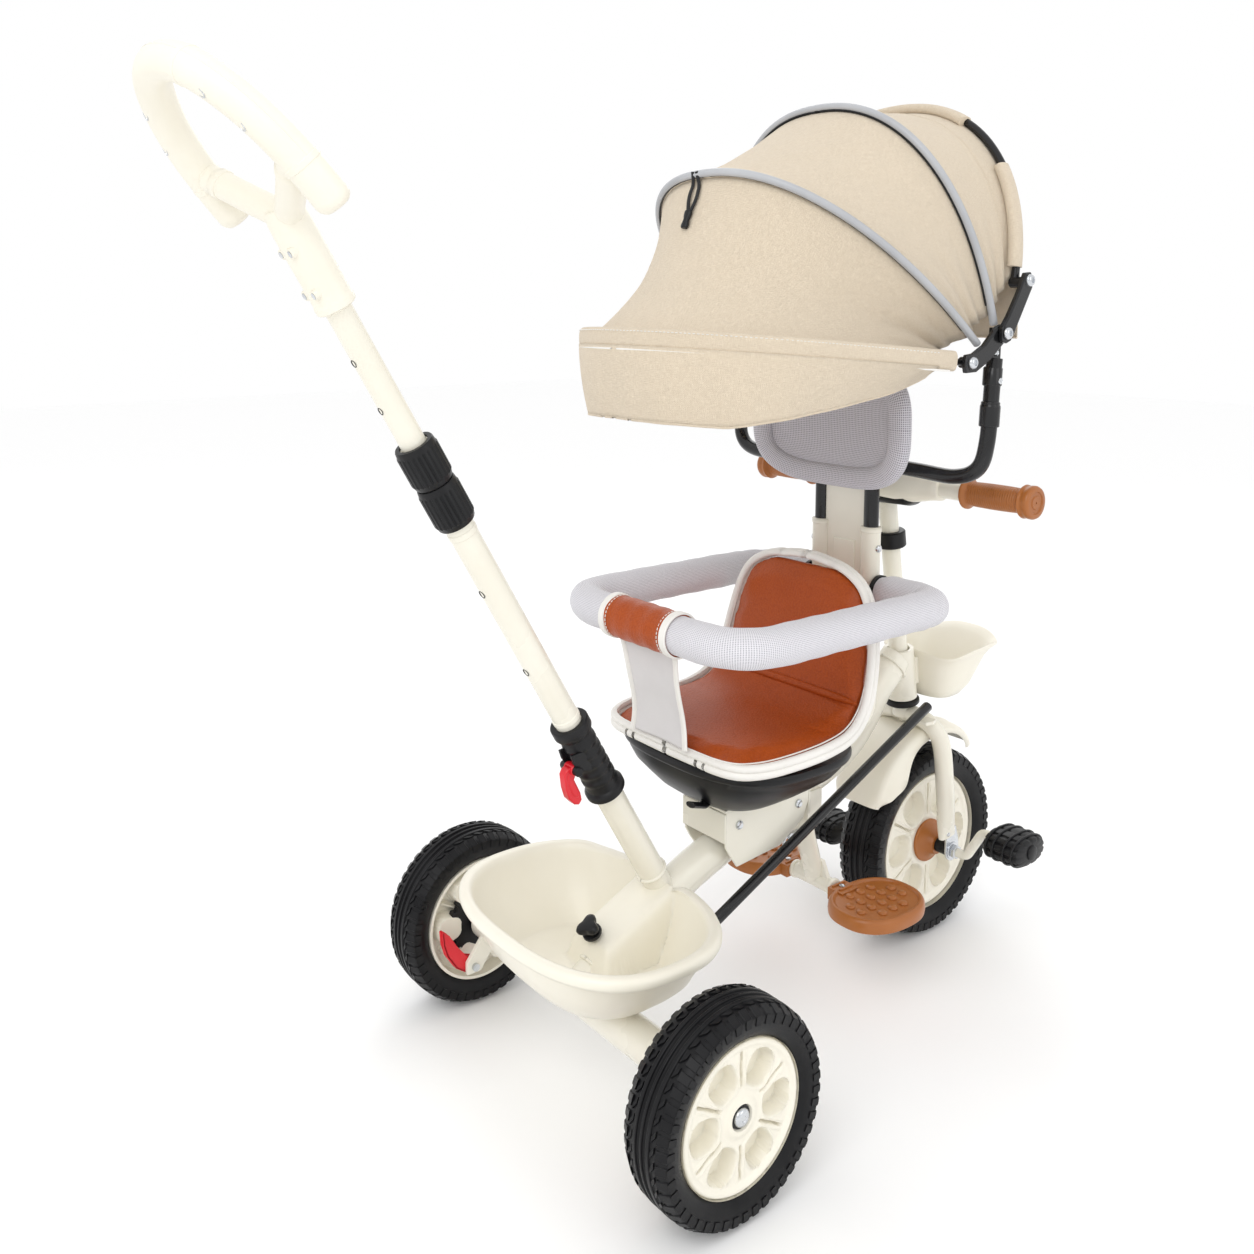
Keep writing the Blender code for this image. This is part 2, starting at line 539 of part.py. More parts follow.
for name, side in SIDES:
    spindle = FRONT_AXLE + Z * side * CRANK_RADIUS
    pedal = Body(f"pedal_{name}", spindle + X * side * PEDAL_X, front_wheel)
    body = loft([oval(spindle + X * side * x, X, half_y, half_z, 16, 2.4, side=Y) for x, half_y, half_z in (
        (0.1160, 0.0240, 0.0140), (0.1200, 0.0320, 0.0170), (0.1400, 0.0340, 0.0185), (0.1590, 0.0320, 0.0170),
        (0.1640, 0.0240, 0.0140))])
    pedal.add(f"pedal_{name}", combine(body, [
        ("DIFFERENCE", rod(spindle + X * side * 0.10, spindle + X * side * 0.1610, 0.0060, 10))]), BLACK_PLASTIC)


# Seat -----------------------------------------------------------------------------------------
seat.add("seat_turntable", rod(SEAT_AXIS - Z * 0.0010, SEAT_AXIS + Z * 0.0035, 0.036, 20), STEEL)
pan = [(0.2740, 0.060, 0.055, 0), (0.2850, 0.078, 0.072, 0), (0.3080, 0.108, 0.096, 0.004),
       (0.3280, 0.121, 0.104, 0.006), (0.3360, 0.121, 0.104, 0.006)]
seat.add("seat_shell", loft([oval(Vector((0, SEAT_AXIS.y + dy, z)), Z, half_x, half_y, 24, 2.8, side=X)
                             for z, half_x, half_y, dy in pan]), BLACK_PLASTIC)

CUSHION = [(0.122, 0.348, 0.106), (0.132, 0.348, 0.117), (0.175, 0.350, 0.123), (0.225, 0.352, 0.124),
           (0.270, 0.358, 0.122), (0.302, 0.378, 0.117), (0.318, 0.415, 0.113), (0.326, 0.455, 0.107),
           (0.331, 0.490, 0.096), (0.334, 0.512, 0.078), (0.335, 0.524, 0.050)]
cushion_points = [Vector((0, y, z)) for y, z, _ in CUSHION]
cushion_rings = [oval(point, way, half_x, 0.0105, 16, 4.0, side=X) for point, way, (_, _, half_x) in
                 zip(cushion_points, tangents(cushion_points), CUSHION)]
seat.add("seat_cushion", loft(cushion_rings), LEATHERETTE)

back_plate = box((-0.030, BACKREST_Y - 0.003, 0.40), (0.030, BACKREST_Y + 0.003, 0.605), 0.001)
back_steps = []
for name, side in SIDES:
    path = rounded_path([Vector((side * BACKREST_X, y, z)) for y, z in (
        (0.3300, 0.3240), (BACKREST_Y, 0.3240), (BACKREST_Y, 0.5600))], 0.030, 4)
    back_steps.append(("UNION", tube(path, 0.0115, 12, side=X)))
for name, side in SIDES:
    back_steps.append(("DIFFERENCE", rod((side * BACKREST_X, BACKREST_Y, 0.50),
                                         (side * BACKREST_X, BACKREST_Y, 0.62), 0.0092, 12)))
seat.add("backrest_frame", combine(back_plate, back_steps), CREAM_PAINT)

hoop = rounded_path([Vector((-BACKREST_X, BACKREST_Y, 0.505)), Vector((-BACKREST_X, BACKREST_Y, 0.715)),
                     Vector((BACKREST_X, BACKREST_Y, 0.715)), Vector((BACKREST_X, BACKREST_Y, 0.505))], 0.020, 3)

HEADREST_Z, HEADREST_Y = 0.683, 0.3840
headrest_rings = []
for depth, scale in ((-0.008, 0.94), (-0.004, 1.0), (0.004, 1.0), (0.008, 0.94)):
    ring = oval(Vector((0, HEADREST_Y + depth, HEADREST_Z)), Y, 0.117 * scale, 0.078 * scale, 28, 3.2, side=X)
    for point in ring:
        point.y -= 0.022 * (abs(point.x) / 0.117) ** 2
    headrest_rings.append(ring)
seat.add("headrest", loft(headrest_rings), GREY_MESH)

rail_corners = [Vector((x, y, RAIL_Z)) for x, y in (
    (0.0535, BACKREST_Y), (RAIL_HALF, BACKREST_Y), (RAIL_HALF, RAIL_FRONT_Y), (-RAIL_HALF, RAIL_FRONT_Y),
    (-RAIL_HALF, BACKREST_Y), (-0.0535, BACKREST_Y))]
rail_path = rounded_path(rail_corners, (0.036, 0.062, 0.062, 0.036), 5)
seat.add("guard_rail", tube(rail_path, RAIL_RADIUS, 10, side=Z), GREY_MESH)
seat.add("guard_rail_wrap", turned([(-0.052, RAIL_RADIUS + GAP * 2), (-0.052, 0.0240), (0.052, 0.0240),
                                    (0.052, RAIL_RADIUS + GAP * 2)],
                                   Vector((0, RAIL_FRONT_Y, RAIL_Z)), X, 16, closed=True), LEATHERETTE)
seat.add("crotch_panel", loft([[Vector((-half, y - 0.002, z)), Vector((half, y - 0.002, z)),
                                Vector((half, y + 0.002, z)), Vector((-half, y + 0.002, z))]
                               for y, z, half in ((0.1060, 0.3400, 0.040), (0.1040, 0.3800, 0.039),
                                                  (0.0980, 0.4200, 0.039), (0.0900, 0.4595, 0.042))]), GREY_MESH)


# Canopy ---------------------------------------------------------------------------------------
def arch(end, lean_deg, length, half, power, inset=0.0, steps=20):
    """Bow from one side to the other: `end` is its foot, and it leans up from straight ahead."""
    lean = math.radians(lean_deg)
    points = []
    for step in range(steps + 1):
        turn = math.pi * (inset + (1 - 2 * inset) * step / steps)
        cos, sin = math.cos(turn), abs(math.sin(turn))
        across = math.copysign(abs(cos) ** (2 / power), cos) * half
        reach = length * sin ** (2 / power)
        points.append(Vector((across, end.y - reach * math.cos(lean), end.z + reach * math.sin(lean))))
    return points


VISOR_BOW = (Vector((0, 0.3680, 0.7610)), 5.0, 0.326, 0.180, 2.3)
FIRST_BOW = (Vector((0, 0.3900, 0.7800)), 38.5, 0.290, 0.180, 2.3)
SECOND_BOW = (Vector((0, 0.4190, 0.8000)), 71.6, 0.256, 0.180, 2.3)
REAR_BOW = (Vector((0, 0.4540, 0.8450)), 98.5, 0.210, 0.180, 2.2)
BOW_RADIUS = 0.0042
PANEL_THICK = 0.0016


def bow_tube(bow):
    return tube(arch(*bow, steps=18), BOW_RADIUS, 6, side=Y)


def panel(first, second, sag, steps=16):
    """Cloth stretched from one bow to the next, just inside both, and drawn in by `sag` between them."""
    hub = Vector((0, 0.40, 0.80))
    lines = [arch(*bow, inset=0.075, steps=steps) for bow in (first, second)]
    ways = tangents(lines[0])
    rings = []
    for near, far, way in zip(lines[0], lines[1], ways):
        out = way.cross(far - near).normalized()
        if out.dot(near - hub) < 0:
            out = -out
        inside = BOW_RADIUS + GAP + PANEL_THICK
        rows = [near.lerp(far, share) - out * (inside + sag * 4 * share * (1 - share))
                for share in (0.02, 0.3, 0.6, 0.98)]
        rings.append(rows + [row + out * PANEL_THICK for row in reversed(rows)])
    return loft(rings)


support_steps, visor_steps, rear_steps = [], [], []
for name, side in SIDES:
    post_path = smooth_path([Vector((side * x, y, z)) for x, y, z in (
        (0.0370, 0.405, 0.6370), (0.1000, 0.405, 0.6345), (0.1480, 0.405, 0.6330), (0.1750, 0.407, 0.6450),
        (0.1830, 0.410, 0.6750), (0.1830, 0.415, 0.7300), (0.1830, 0.418, 0.7640))], 3)
    support_steps += [
        ("UNION", tube(post_path, 0.0085, 10, side=Y)),
        ("UNION", rod((side * 0.1830, 0.4120, 0.6900), (side * 0.1830, 0.4135, 0.7150), 0.0105, 10)),
        ("UNION", plate([(-0.007, -0.030), (0.007, -0.030), (0.007, 0.005), (-0.007, 0.005)],
                        Vector((side * 0.1820, 0.419, 0.791)), Y, Z, 0.0040))]
    hub = CANOPY_PIVOT + X * side * 0.1925
    front_arm = [(-0.0620, -0.0400), (-0.0430, -0.0400), (-0.0180, -0.0280), (0.0050, -0.0090), (0.0080, 0.0040),
                 (0.0, 0.0090), (-0.0100, 0.0050), (-0.0300, -0.0120), (-0.0480, -0.0220), (-0.0620, -0.0250)]
    visor_steps.append(("UNION", plate(front_arm, hub - X * side * 0.0050, Y, Z, 0.0050)))
    visor_steps.append(("UNION", rod((side * 0.178, 0.3680, 0.7610), (side * 0.1880, 0.3680, 0.7610), 0.0060, 10)))
    rear_arm = [(-0.0080, -0.0080), (0.0060, -0.0090), (0.0240, 0.0180), (0.0430, 0.0500), (0.0430, 0.0640),
                (0.0290, 0.0640), (0.0200, 0.0440), (0.0020, 0.0180), (-0.0080, 0.0080)]
    rear_steps.append(("UNION", plate(rear_arm, hub + X * side * 0.0010, Y, Z, 0.0050)))
    rear_steps.append(("UNION", rod((side * 0.178, 0.4540, 0.8450), (side * 0.1930, 0.4540, 0.8450), 0.0060, 10)))

seat.add("canopy_support", combine(tube(hoop, 0.0088, 10, side=Y), support_steps), BLACK_PAINT)
seat.add("canopy_bow_rear", combine(bow_tube(REAR_BOW), rear_steps), BLACK_PAINT)
canopy_second.add("canopy_bow_second", bow_tube(SECOND_BOW), PIPING)
canopy_first.add("canopy_bow_first", bow_tube(FIRST_BOW), PIPING)
canopy_visor.add("canopy_bow_visor", combine(bow_tube(VISOR_BOW), visor_steps), BLACK_PAINT)
canopy_second.add("canopy_panel_rear", panel(SECOND_BOW, REAR_BOW, 0.002), CANOPY_CLOTH)
canopy_first.add("canopy_panel_middle", panel(FIRST_BOW, SECOND_BOW, 0.006), CANOPY_CLOTH)
canopy_visor.add("canopy_panel_front", panel(VISOR_BOW, FIRST_BOW, 0.022), CANOPY_CLOTH)

VISOR_DROP = 0.078
flap_rings = []
flap_line = arch(*VISOR_BOW, inset=0.035, steps=18)
for step, (point, way) in enumerate(zip(flap_line, tangents(flap_line))):
    out = way.cross(Z).normalized()
    if out.dot(point - CANOPY_PIVOT) < 0:
        out = -out
    drop = 0.010 + VISOR_DROP * math.sin(math.pi * step / 18) ** 0.8
    top = point + out * (BOW_RADIUS + 0.0012) - Z * 0.004
    low = top - Z * drop + out * 0.004
    flap_rings.append([top, low, low + out * PANEL_THICK, top + out * PANEL_THICK])
canopy_visor.add("canopy_visor_flap", loft(flap_rings), CANOPY_CLOTH)

back_rings = []
for point in arch(*REAR_BOW, inset=0.05, steps=16):
    top = point + Vector((0, BOW_RADIUS + 0.0012, 0))
    low = Vector((point.x, 0.4660, 0.7850))
    back_rings.append([top, low, low + Y * PANEL_THICK, top + Y * PANEL_THICK])
seat.add("canopy_back", loft(back_rings), CANOPY_CLOTH)


# Push bar -------------------------------------------------------------------------------------
CLAMP_FROM, CLAMP_TO = SOCKET_TOP + 0.0015, 0.2260
COLLARS = ((0.4820, 0.5280), (0.5290, 0.5720))
BAR_LOWER_TOP = 0.5700
lower_tube = turned([
    (-0.0760, 0.0130), (0.1800, 0.0130), (0.2000, BAR_LOWER_RADIUS), (BAR_LOWER_TOP, BAR_LOWER_RADIUS),
    (BAR_LOWER_TOP, BAR_UPPER_RADIUS + GAP), (0.2300, BAR_UPPER_RADIUS + GAP), (0.2300, 0.0105),
    (-0.0760, 0.0105)], BAR_FOOT, BAR_AXIS, 16, closed=True)
BUTTON = on_bar(0.3460)
crank_arm = loft([oval(on_bar(-0.0812) + X * x, X, 0.008, 0.0035, 12, 4.0, side=Y) for x in (0.0, 0.0510)])
push_bar.add("push_bar_lower", combine(lower_tube, [
    ("UNION", rod(on_bar(-0.0850), on_bar(-0.0720), 0.0118, 14)),
    ("UNION", crank_arm),
    ("DIFFERENCE", rod(BUTTON - X * 0.020, BUTTON - X * 0.0120, 0.0046, 12))]), CREAM_PAINT)
button = Body("snap_button", BUTTON - X * 0.0142, push_bar)
button.add("snap_button", turned([(0.0132, 0.0040), (0.0165, 0.0040), (0.0178, 0.0026)], BUTTON, -X, 10), STEEL)

push_bar.add("push_clamp", turned([
    (CLAMP_FROM, 0.0134), (CLAMP_FROM, 0.0215), (CLAMP_FROM + 0.008, 0.0215), (CLAMP_FROM + 0.010, 0.0180),
    (CLAMP_TO - 0.014, 0.0180), (CLAMP_TO - 0.012, 0.0205), (CLAMP_TO, 0.0205), (CLAMP_TO, 0.0146),
    (0.1980, 0.0146), (0.1780, 0.0134)], BAR_FOOT, BAR_AXIS, 20, closed=True), BLACK_PLASTIC)
LEVER_PIVOT = on_bar(0.1800) - Y * 0.020 - Z * 0.0060 + X * 0.006
lever_body = Body("clamp_lever", LEVER_PIVOT, push_bar)
lever_out = BAR_AXIS.cross(X).normalized()
lever_out *= math.copysign(1, -lever_out.y)
lever_body.add("clamp_lever", plate([(-0.002, 0.003), (0.004, 0.006), (0.012, 0.004), (0.020, -0.022),
                                     (0.014, -0.036), (0.006, -0.030), (0.004, -0.008), (-0.002, -0.004)],
                                    LEVER_PIVOT + lever_out * 0.0045, lever_out, BAR_AXIS, 0.010), RED_PLASTIC)
for name, (start, stop) in zip(("lower", "upper"), COLLARS):
    collar_body = Body(f"twist_collar_{name}", on_bar(start), push_bar)
    bore = BAR_LOWER_RADIUS + GAP
    collar_body.add(f"twist_collar_{name}", turned([
        (start, bore), (start, 0.0185), (start + 0.006, 0.0205), (stop - 0.006, 0.0205), (stop, 0.0190),
        (stop, bore)], BAR_FOOT, BAR_AXIS, 20, closed=True), BLACK_PLASTIC)

UPPER_FROM, NECK_FROM, NECK_TO = 0.4300, 0.7150, 0.8120
push_upper.add("push_bar_upper", pipe([on_bar(UPPER_FROM), on_bar(0.7900)], BAR_UPPER_RADIUS, 0.0110, 16), CREAM_PAINT)

NECK = on_bar(0.8050)


def on_loop(across, up):
    return NECK + X * across + LOOP_AXIS * up


loop_path = smooth_path([on_loop(a, b) for a, b in (
    (0.099, 0.000), (0.098, 0.030), (0.091, 0.070), (0.072, 0.108), (0.040, 0.139), (0.000, 0.150),
    (-0.040, 0.139), (-0.072, 0.108), (-0.091, 0.070), (-0.098, 0.030), (-0.099, 0.000))], 2)
loop_radii = [0.0155] * len(loop_path)
loop_radii[0] = loop_radii[-1] = 0.011
handle_steps = [("UNION", turned([
    (NECK_FROM, 0.0165), (NECK_FROM + 0.008, 0.0185), (NECK_TO - 0.010, 0.0185), (NECK_TO, 0.0150)],
    BAR_FOOT, BAR_AXIS, 16))]
for side in (-1, 1):
    spoke = [on_loop(0.0, -0.004), on_loop(side * 0.040, 0.018), on_loop(side * 0.086, 0.046)]
    handle_steps.append(("UNION", tube(spoke, 0.0125, 10, side=Z)))
handle_steps.append(("DIFFERENCE", rod(on_bar(0.70), on_bar(0.7905), BAR_UPPER_RADIUS + GAP, 16)))
push_upper.add("push_handle", combine(tube(loop_path, loop_radii, 12, side=LOOP_AXIS.cross(X)), handle_steps),
               CREAM_PLASTIC)

# Steering link: the crank under the push bar moves the fork through a rod on the right-hand side.
CRANK_ARM = 0.045
ROD_START = on_bar(-0.0812) + X * CRANK_ARM + BAR_AXIS * 0.0115
ROD_END = Vector((CRANK_ARM, 0.5160, 0.3212))
link = Body("steering_rod", ROD_START, push_bar)
link.add("steering_rod", rod(ROD_START, ROD_END, 0.0060, 12), BLACK_PAINT)
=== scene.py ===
"""Looks of a children's push tricycle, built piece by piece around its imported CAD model.

Metres, +Z up, +Y towards the front wheel. Places are drawing sizes taken from the ground under the
rear axle, and each finished piece is shifted from there into the CAD model's frame.
"""
import math

import bmesh
import bpy
from mathutils import Matrix, Vector


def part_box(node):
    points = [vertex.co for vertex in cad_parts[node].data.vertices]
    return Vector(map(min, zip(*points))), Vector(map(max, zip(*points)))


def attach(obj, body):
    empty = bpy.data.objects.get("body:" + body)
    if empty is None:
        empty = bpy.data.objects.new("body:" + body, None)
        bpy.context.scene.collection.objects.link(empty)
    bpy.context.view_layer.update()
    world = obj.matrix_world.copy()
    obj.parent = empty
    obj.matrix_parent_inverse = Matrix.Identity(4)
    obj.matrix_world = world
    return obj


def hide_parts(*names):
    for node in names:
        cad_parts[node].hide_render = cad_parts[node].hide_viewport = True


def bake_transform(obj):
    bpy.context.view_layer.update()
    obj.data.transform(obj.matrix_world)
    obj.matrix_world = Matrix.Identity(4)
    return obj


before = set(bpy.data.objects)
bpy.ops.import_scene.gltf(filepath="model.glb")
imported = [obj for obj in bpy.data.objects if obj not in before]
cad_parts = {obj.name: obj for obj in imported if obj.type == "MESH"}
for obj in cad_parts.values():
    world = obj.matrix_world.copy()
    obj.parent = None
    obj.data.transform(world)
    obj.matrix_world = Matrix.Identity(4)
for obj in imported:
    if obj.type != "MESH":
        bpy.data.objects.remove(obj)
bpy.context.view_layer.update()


# The drawing's zero --------------------
# All drawing sizes start on the ground below the rear axle, which the CAD model places.
axle_low, axle_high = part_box("rear_axle")
SHIFT = Vector((0, (axle_low.y + axle_high.y) / 2, 0))
X, Y, Z = Vector((1, 0, 0)), Vector((0, 1, 0)), Vector((0, 0, 1))
SIDES = (("left", -1), ("right", 1))


# Camera, floor and light --------------------
# A standing adult's view from behind the right rear wheel, over a pale studio floor that meets a
# pale backdrop, under large soft lamps.
CAMERA_PLACE = Vector((0.92673, -0.71934, 0.82757))
CAMERA_RIGHT = Vector((0.57896, 0.81535, -0.00431))
CAMERA_UP = Vector((-0.08297, 0.06417, 0.99448))
eye = bpy.data.cameras.new("eye")
eye.sensor_width = 36
eye.lens = 33.87
eye.shift_x = 0.0767
eye.shift_y = -0.1611
camera = bpy.data.objects.new("camera", eye)
turn = Matrix((CAMERA_RIGHT, CAMERA_UP, CAMERA_RIGHT.cross(CAMERA_UP))).transposed().to_4x4()
camera.matrix_world = Matrix.Translation(CAMERA_PLACE + SHIFT) @ turn
bpy.context.scene.collection.objects.link(camera)
bpy.context.scene.camera = camera

floor_mesh = bpy.data.meshes.new("floor")
floor_mesh.from_pydata([(-9, -9, 0), (9, -9, 0), (9, 9, 0), (-9, 9, 0)], [], [(0, 1, 2, 3)])
floor = bpy.data.objects.new("floor", floor_mesh)
floor.location.z = -0.0005
bpy.context.scene.collection.objects.link(floor)
paper = bpy.data.materials.new("studio_paper")
paper.use_nodes = True
paper_shader = paper.node_tree.nodes["Principled BSDF"]
paper_shader.inputs["Base Color"].default_value = (0.985, 0.985, 0.985, 1)
paper_shader.inputs["Roughness"].default_value = 0.9
floor_mesh.materials.append(paper)

sky = bpy.data.worlds.new("studio")
sky.use_nodes = True
sky.node_tree.nodes["Background"].inputs["Color"].default_value = (1.0, 1.0, 1.0, 1)
sky.node_tree.nodes["Background"].inputs["Strength"].default_value = 1.0
bpy.context.scene.world = sky
bpy.context.scene.view_settings.view_transform = "Standard"

for name, place, size, power in (("key_lamp", (1.2, -2.2, 2.6), 1.6, 26.0),
                                 ("side_lamp", (2.8, 0.6, 1.6), 1.6, 8.0),
                                 ("back_lamp", (-1.8, 1.8, 2.4), 1.8, 12.0)):
    lamp_data = bpy.data.lights.new(name, "AREA")
    lamp_data.size = size
    lamp_data.energy = power
    lamp = bpy.data.objects.new(name, lamp_data)
    lamp.location = Vector(place)
    lamp.rotation_euler = (Vector((0, 0, 0.45)) - lamp.location).to_track_quat("-Z", "Y").to_euler()
    bpy.context.scene.collection.objects.link(lamp)


# Powder coated tubes: main frame --------------------
# Welded steel: axle tube, curved oval main beam, head tube and the sloping socket for the push bar,
# with pressed ears for the brake levers, all powder coated in one cream.
def new_group(name, takes, gives):
    """Empty shader node group with its sockets; returns the group, its input and output nodes."""
    group = bpy.data.node_groups.new(name, "ShaderNodeTree")
    for label, kind, value in takes:
        socket = group.interface.new_socket(name=label, in_out="INPUT", socket_type=kind)
        if value is not None:
            socket.default_value = value
    for label in gives:
        group.interface.new_socket(name=label, in_out="OUTPUT", socket_type="NodeSocketFloat")
    return group, group.nodes.new("NodeGroupInput"), group.nodes.new("NodeGroupOutput")


def math_node(tree, operation, first, second=None):
    """Math node whose inputs are sockets or numbers; returns its output."""
    node = tree.nodes.new("ShaderNodeMath")
    node.operation = operation
    for socket, value in zip(node.inputs, (first, second)):
        if value is None:
            continue
        if isinstance(value, (int, float)):
            socket.default_value = value
        else:
            tree.links.new(value, socket)
    return node.outputs[0]


def noise_node(tree, vector, scale, detail=3.0, roughness=0.5):
    """Noise texture on a vector; `scale` is a number or a socket."""
    node = tree.nodes.new("ShaderNodeTexNoise")
    node.inputs["Detail"].default_value = detail
    node.inputs["Roughness"].default_value = roughness
    tree.links.new(vector, node.inputs["Vector"])
    if isinstance(scale, (int, float)):
        node.inputs["Scale"].default_value = scale
    else:
        tree.links.new(scale, node.inputs["Scale"])
    return node.outputs["Fac"]


# Orange peel or moulding grain with broad faint mottling, for coats and plastics.
grain_group, taken, given = new_group(
    "surface_grain",
    (("Vector", "NodeSocketVector", None), ("Grain Scale", "NodeSocketFloat", 900.0),
     ("Mottle Scale", "NodeSocketFloat", 9.0)),
    ("Height", "Mottle"))
fine = noise_node(grain_group, taken.outputs["Vector"], taken.outputs["Grain Scale"], 2.0)
broad = noise_node(grain_group, taken.outputs["Vector"], taken.outputs["Mottle Scale"], 4.0, 0.6)
grain_group.links.new(fine, given.inputs["Height"])
grain_group.links.new(broad, given.inputs["Mottle"])


def new_finish(name, roughness, metallic=0.0, coat=0.0, coat_roughness=0.1, sheen=0.0, shine=0.5):
    """Material with its constants on the Principled shader; returns it with its tree and shader."""
    finish = bpy.data.materials.new(name)
    finish.use_nodes = True
    shader = finish.node_tree.nodes["Principled BSDF"]
    shader.inputs["Roughness"].default_value = roughness
    shader.inputs["Metallic"].default_value = metallic
    shader.inputs["Coat Weight"].default_value = coat
    shader.inputs["Coat Roughness"].default_value = coat_roughness
    shader.inputs["Sheen Weight"].default_value = sheen
    shader.inputs["Specular IOR Level"].default_value = shine
    return finish, finish.node_tree, shader


def colour_between(tree, share, low, high):
    """Mix of two colours by a 0 to 1 socket."""
    node = tree.nodes.new("ShaderNodeMix")
    node.data_type = "RGBA"
    tree.links.new(share, node.inputs["Factor"])
    node.inputs["A"].default_value = (*low, 1)
    node.inputs["B"].default_value = (*high, 1)
    return node.outputs["Result"]


def raise_by(tree, shader, height, distance):
    """Bump from a height socket; `distance` is how far the top stands proud, in metres."""
    bump = tree.nodes.new("ShaderNodeBump")
    bump.inputs["Distance"].default_value = distance
    tree.links.new(height, bump.inputs["Height"])
    tree.links.new(bump.outputs["Normal"], shader.inputs["Normal"])


def spread(tree, value, low, high, to_low, to_high):
    """Maps a socket's range to another, clamped."""
    node = tree.nodes.new("ShaderNodeMapRange")
    tree.links.new(value, node.inputs["Value"])
    for label, number in (("From Min", low), ("From Max", high), ("To Min", to_low), ("To Max", to_high)):
        node.inputs[label].default_value = number
    return node.outputs["Result"]


def plain_finish(name, dark, light, roughness, grain_size, grain_height, metallic=0.0, coat=0.0,
                 coat_roughness=0.1, mottle=9.0, rough_spread=0.06, shine=0.5):
    """Coat, plastic or metal: two close colours in broad mottling, with a fine grain in relief."""
    finish, tree, shader = new_finish(name, roughness, metallic, coat, coat_roughness, 0.0, shine)
    place = tree.nodes.new("ShaderNodeTexCoord").outputs["Object"]
    grain = tree.nodes.new("ShaderNodeGroup")
    grain.node_tree = grain_group
    tree.links.new(place, grain.inputs["Vector"])
    grain.inputs["Grain Scale"].default_value = 1 / grain_size
    grain.inputs["Mottle Scale"].default_value = mottle
    share = spread(tree, grain.outputs["Mottle"], 0.3, 0.7, 0, 1)
    tree.links.new(colour_between(tree, share, dark, light), shader.inputs["Base Color"])
    rough = spread(tree, grain.outputs["Mottle"], 0.3, 0.7, roughness - rough_spread, roughness + rough_spread)
    tree.links.new(rough, shader.inputs["Roughness"])
    raise_by(tree, shader, grain.outputs["Height"], grain_height)
    return finish


CREAM_PAINT = (plain_finish("cream_powder_coat", (0.8, 0.765, 0.655), (0.855, 0.825, 0.725), 0.26, 0.0014,
                            0.00004, coat=0.25, coat_roughness=0.12), "cream_paint")


def frame_of(way, side=X):
    """Two unit vectors square to a direction, the first as near to `side` as it can be."""
    way = way.normalized()
    first = side - way * side.dot(way)
    if first.length < 1e-4:
        first = Y - way * way.y
    first.normalize()
    return first, way.cross(first)


def ring(centre, way, half_a, half_b, sides=32, power=2.0, side=X):
    """Points on a superellipse around `centre`, square to `way`."""
    first, second = frame_of(way, side)
    points = []
    for step in range(sides):
        angle = 2 * math.pi * step / sides
        cos, sin = math.cos(angle), math.sin(angle)
        across = math.copysign(abs(cos) ** (2 / power), cos) * half_a
        up = math.copysign(abs(sin) ** (2 / power), sin) * half_b
        points.append(centre + first * across + second * up)
    return points


def skin(rings, closed=False, band=False):
    """Surface through rings of points with UVs in metres, u round a ring and v from ring to ring.

    A closed skin joins its last ring to its first, and a band's rings are open lines."""
    bm = bmesh.new()
    uv = bm.loops.layers.uv.new("cut")
    rows = [[bm.verts.new(point) for point in points] for points in rings]
    count = len(rows[0])
    widest = max(rings, key=lambda points: sum((a - b).length for a, b in zip(points, points[1:])))
    round_it = [0.0]
    for i in range(count):
        round_it.append(round_it[-1] + (widest[(i + 1) % count] - widest[i]).length)
    along = [0.0]
    for near, far in zip(rings, rings[1:] + rings[:1]):
        along.append(along[-1] + sum((a - b).length for a, b in zip(near, far)) / count)
    pairs = list(zip(rows, rows[1:])) + ([(rows[-1], rows[0])] if closed else [])
    for row, (near, far) in enumerate(pairs):
        for i in range(count - 1 if band else count):
            j = (i + 1) % count
            face = bm.faces.new((near[i], near[j], far[j], far[i]))
            for loop, (u, v) in zip(face.loops, ((i, row), (i + 1, row), (i + 1, row + 1), (i, row + 1))):
                loop[uv].uv = (round_it[u], along[v])
    if not closed and not band:
        bm.faces.new(list(reversed(rows[0])))
        bm.faces.new(rows[-1])
    if not band:
        bmesh.ops.recalc_face_normals(bm, faces=bm.faces)
    return bm


def ways_along(points, closed=False):
    """Unit direction at each point of a path."""
    count = len(points)
    ways = []
    for i in range(count):
        ahead = points[(i + 1) % count] if closed else points[min(i + 1, count - 1)]
        behind = points[i - 1] if closed else points[max(i - 1, 0)]
        ways.append((ahead - behind).normalized())
    return ways


def bar(points, radius, sides=24, half_b=None, side=X, closed=False):
    """Solid bar along a path; radius is one number or one for each point."""
    radii = radius if isinstance(radius, list) else [radius] * len(points)
    return skin([ring(point, way, r, half_b or r, sides, side=side)
                 for point, way, r in zip(points, ways_along(points, closed), radii)], closed=closed)


def curve_through(corners, steps=8, closed=False):
    """Points on a smooth curve through the corners."""
    count = len(corners)
    path = []
    for i in range(count if closed else count - 1):
        if closed:
            p0, p1, p2, p3 = (corners[(i + k) % count] for k in (-1, 0, 1, 2))
        else:
            p0, p1 = corners[max(i - 1, 0)], corners[i]
            p2, p3 = corners[i + 1], corners[min(i + 2, count - 1)]
        for step in range(steps):
            t = step / steps
            path.append(0.5 * ((2 * p1) + (p2 - p0) * t + (2 * p0 - 5 * p1 + 4 * p2 - p3) * t * t
                               + (3 * p1 - p0 - 3 * p2 + p3) * t ** 3))
    if not closed:
        path.append(corners[-1].copy())
    return path


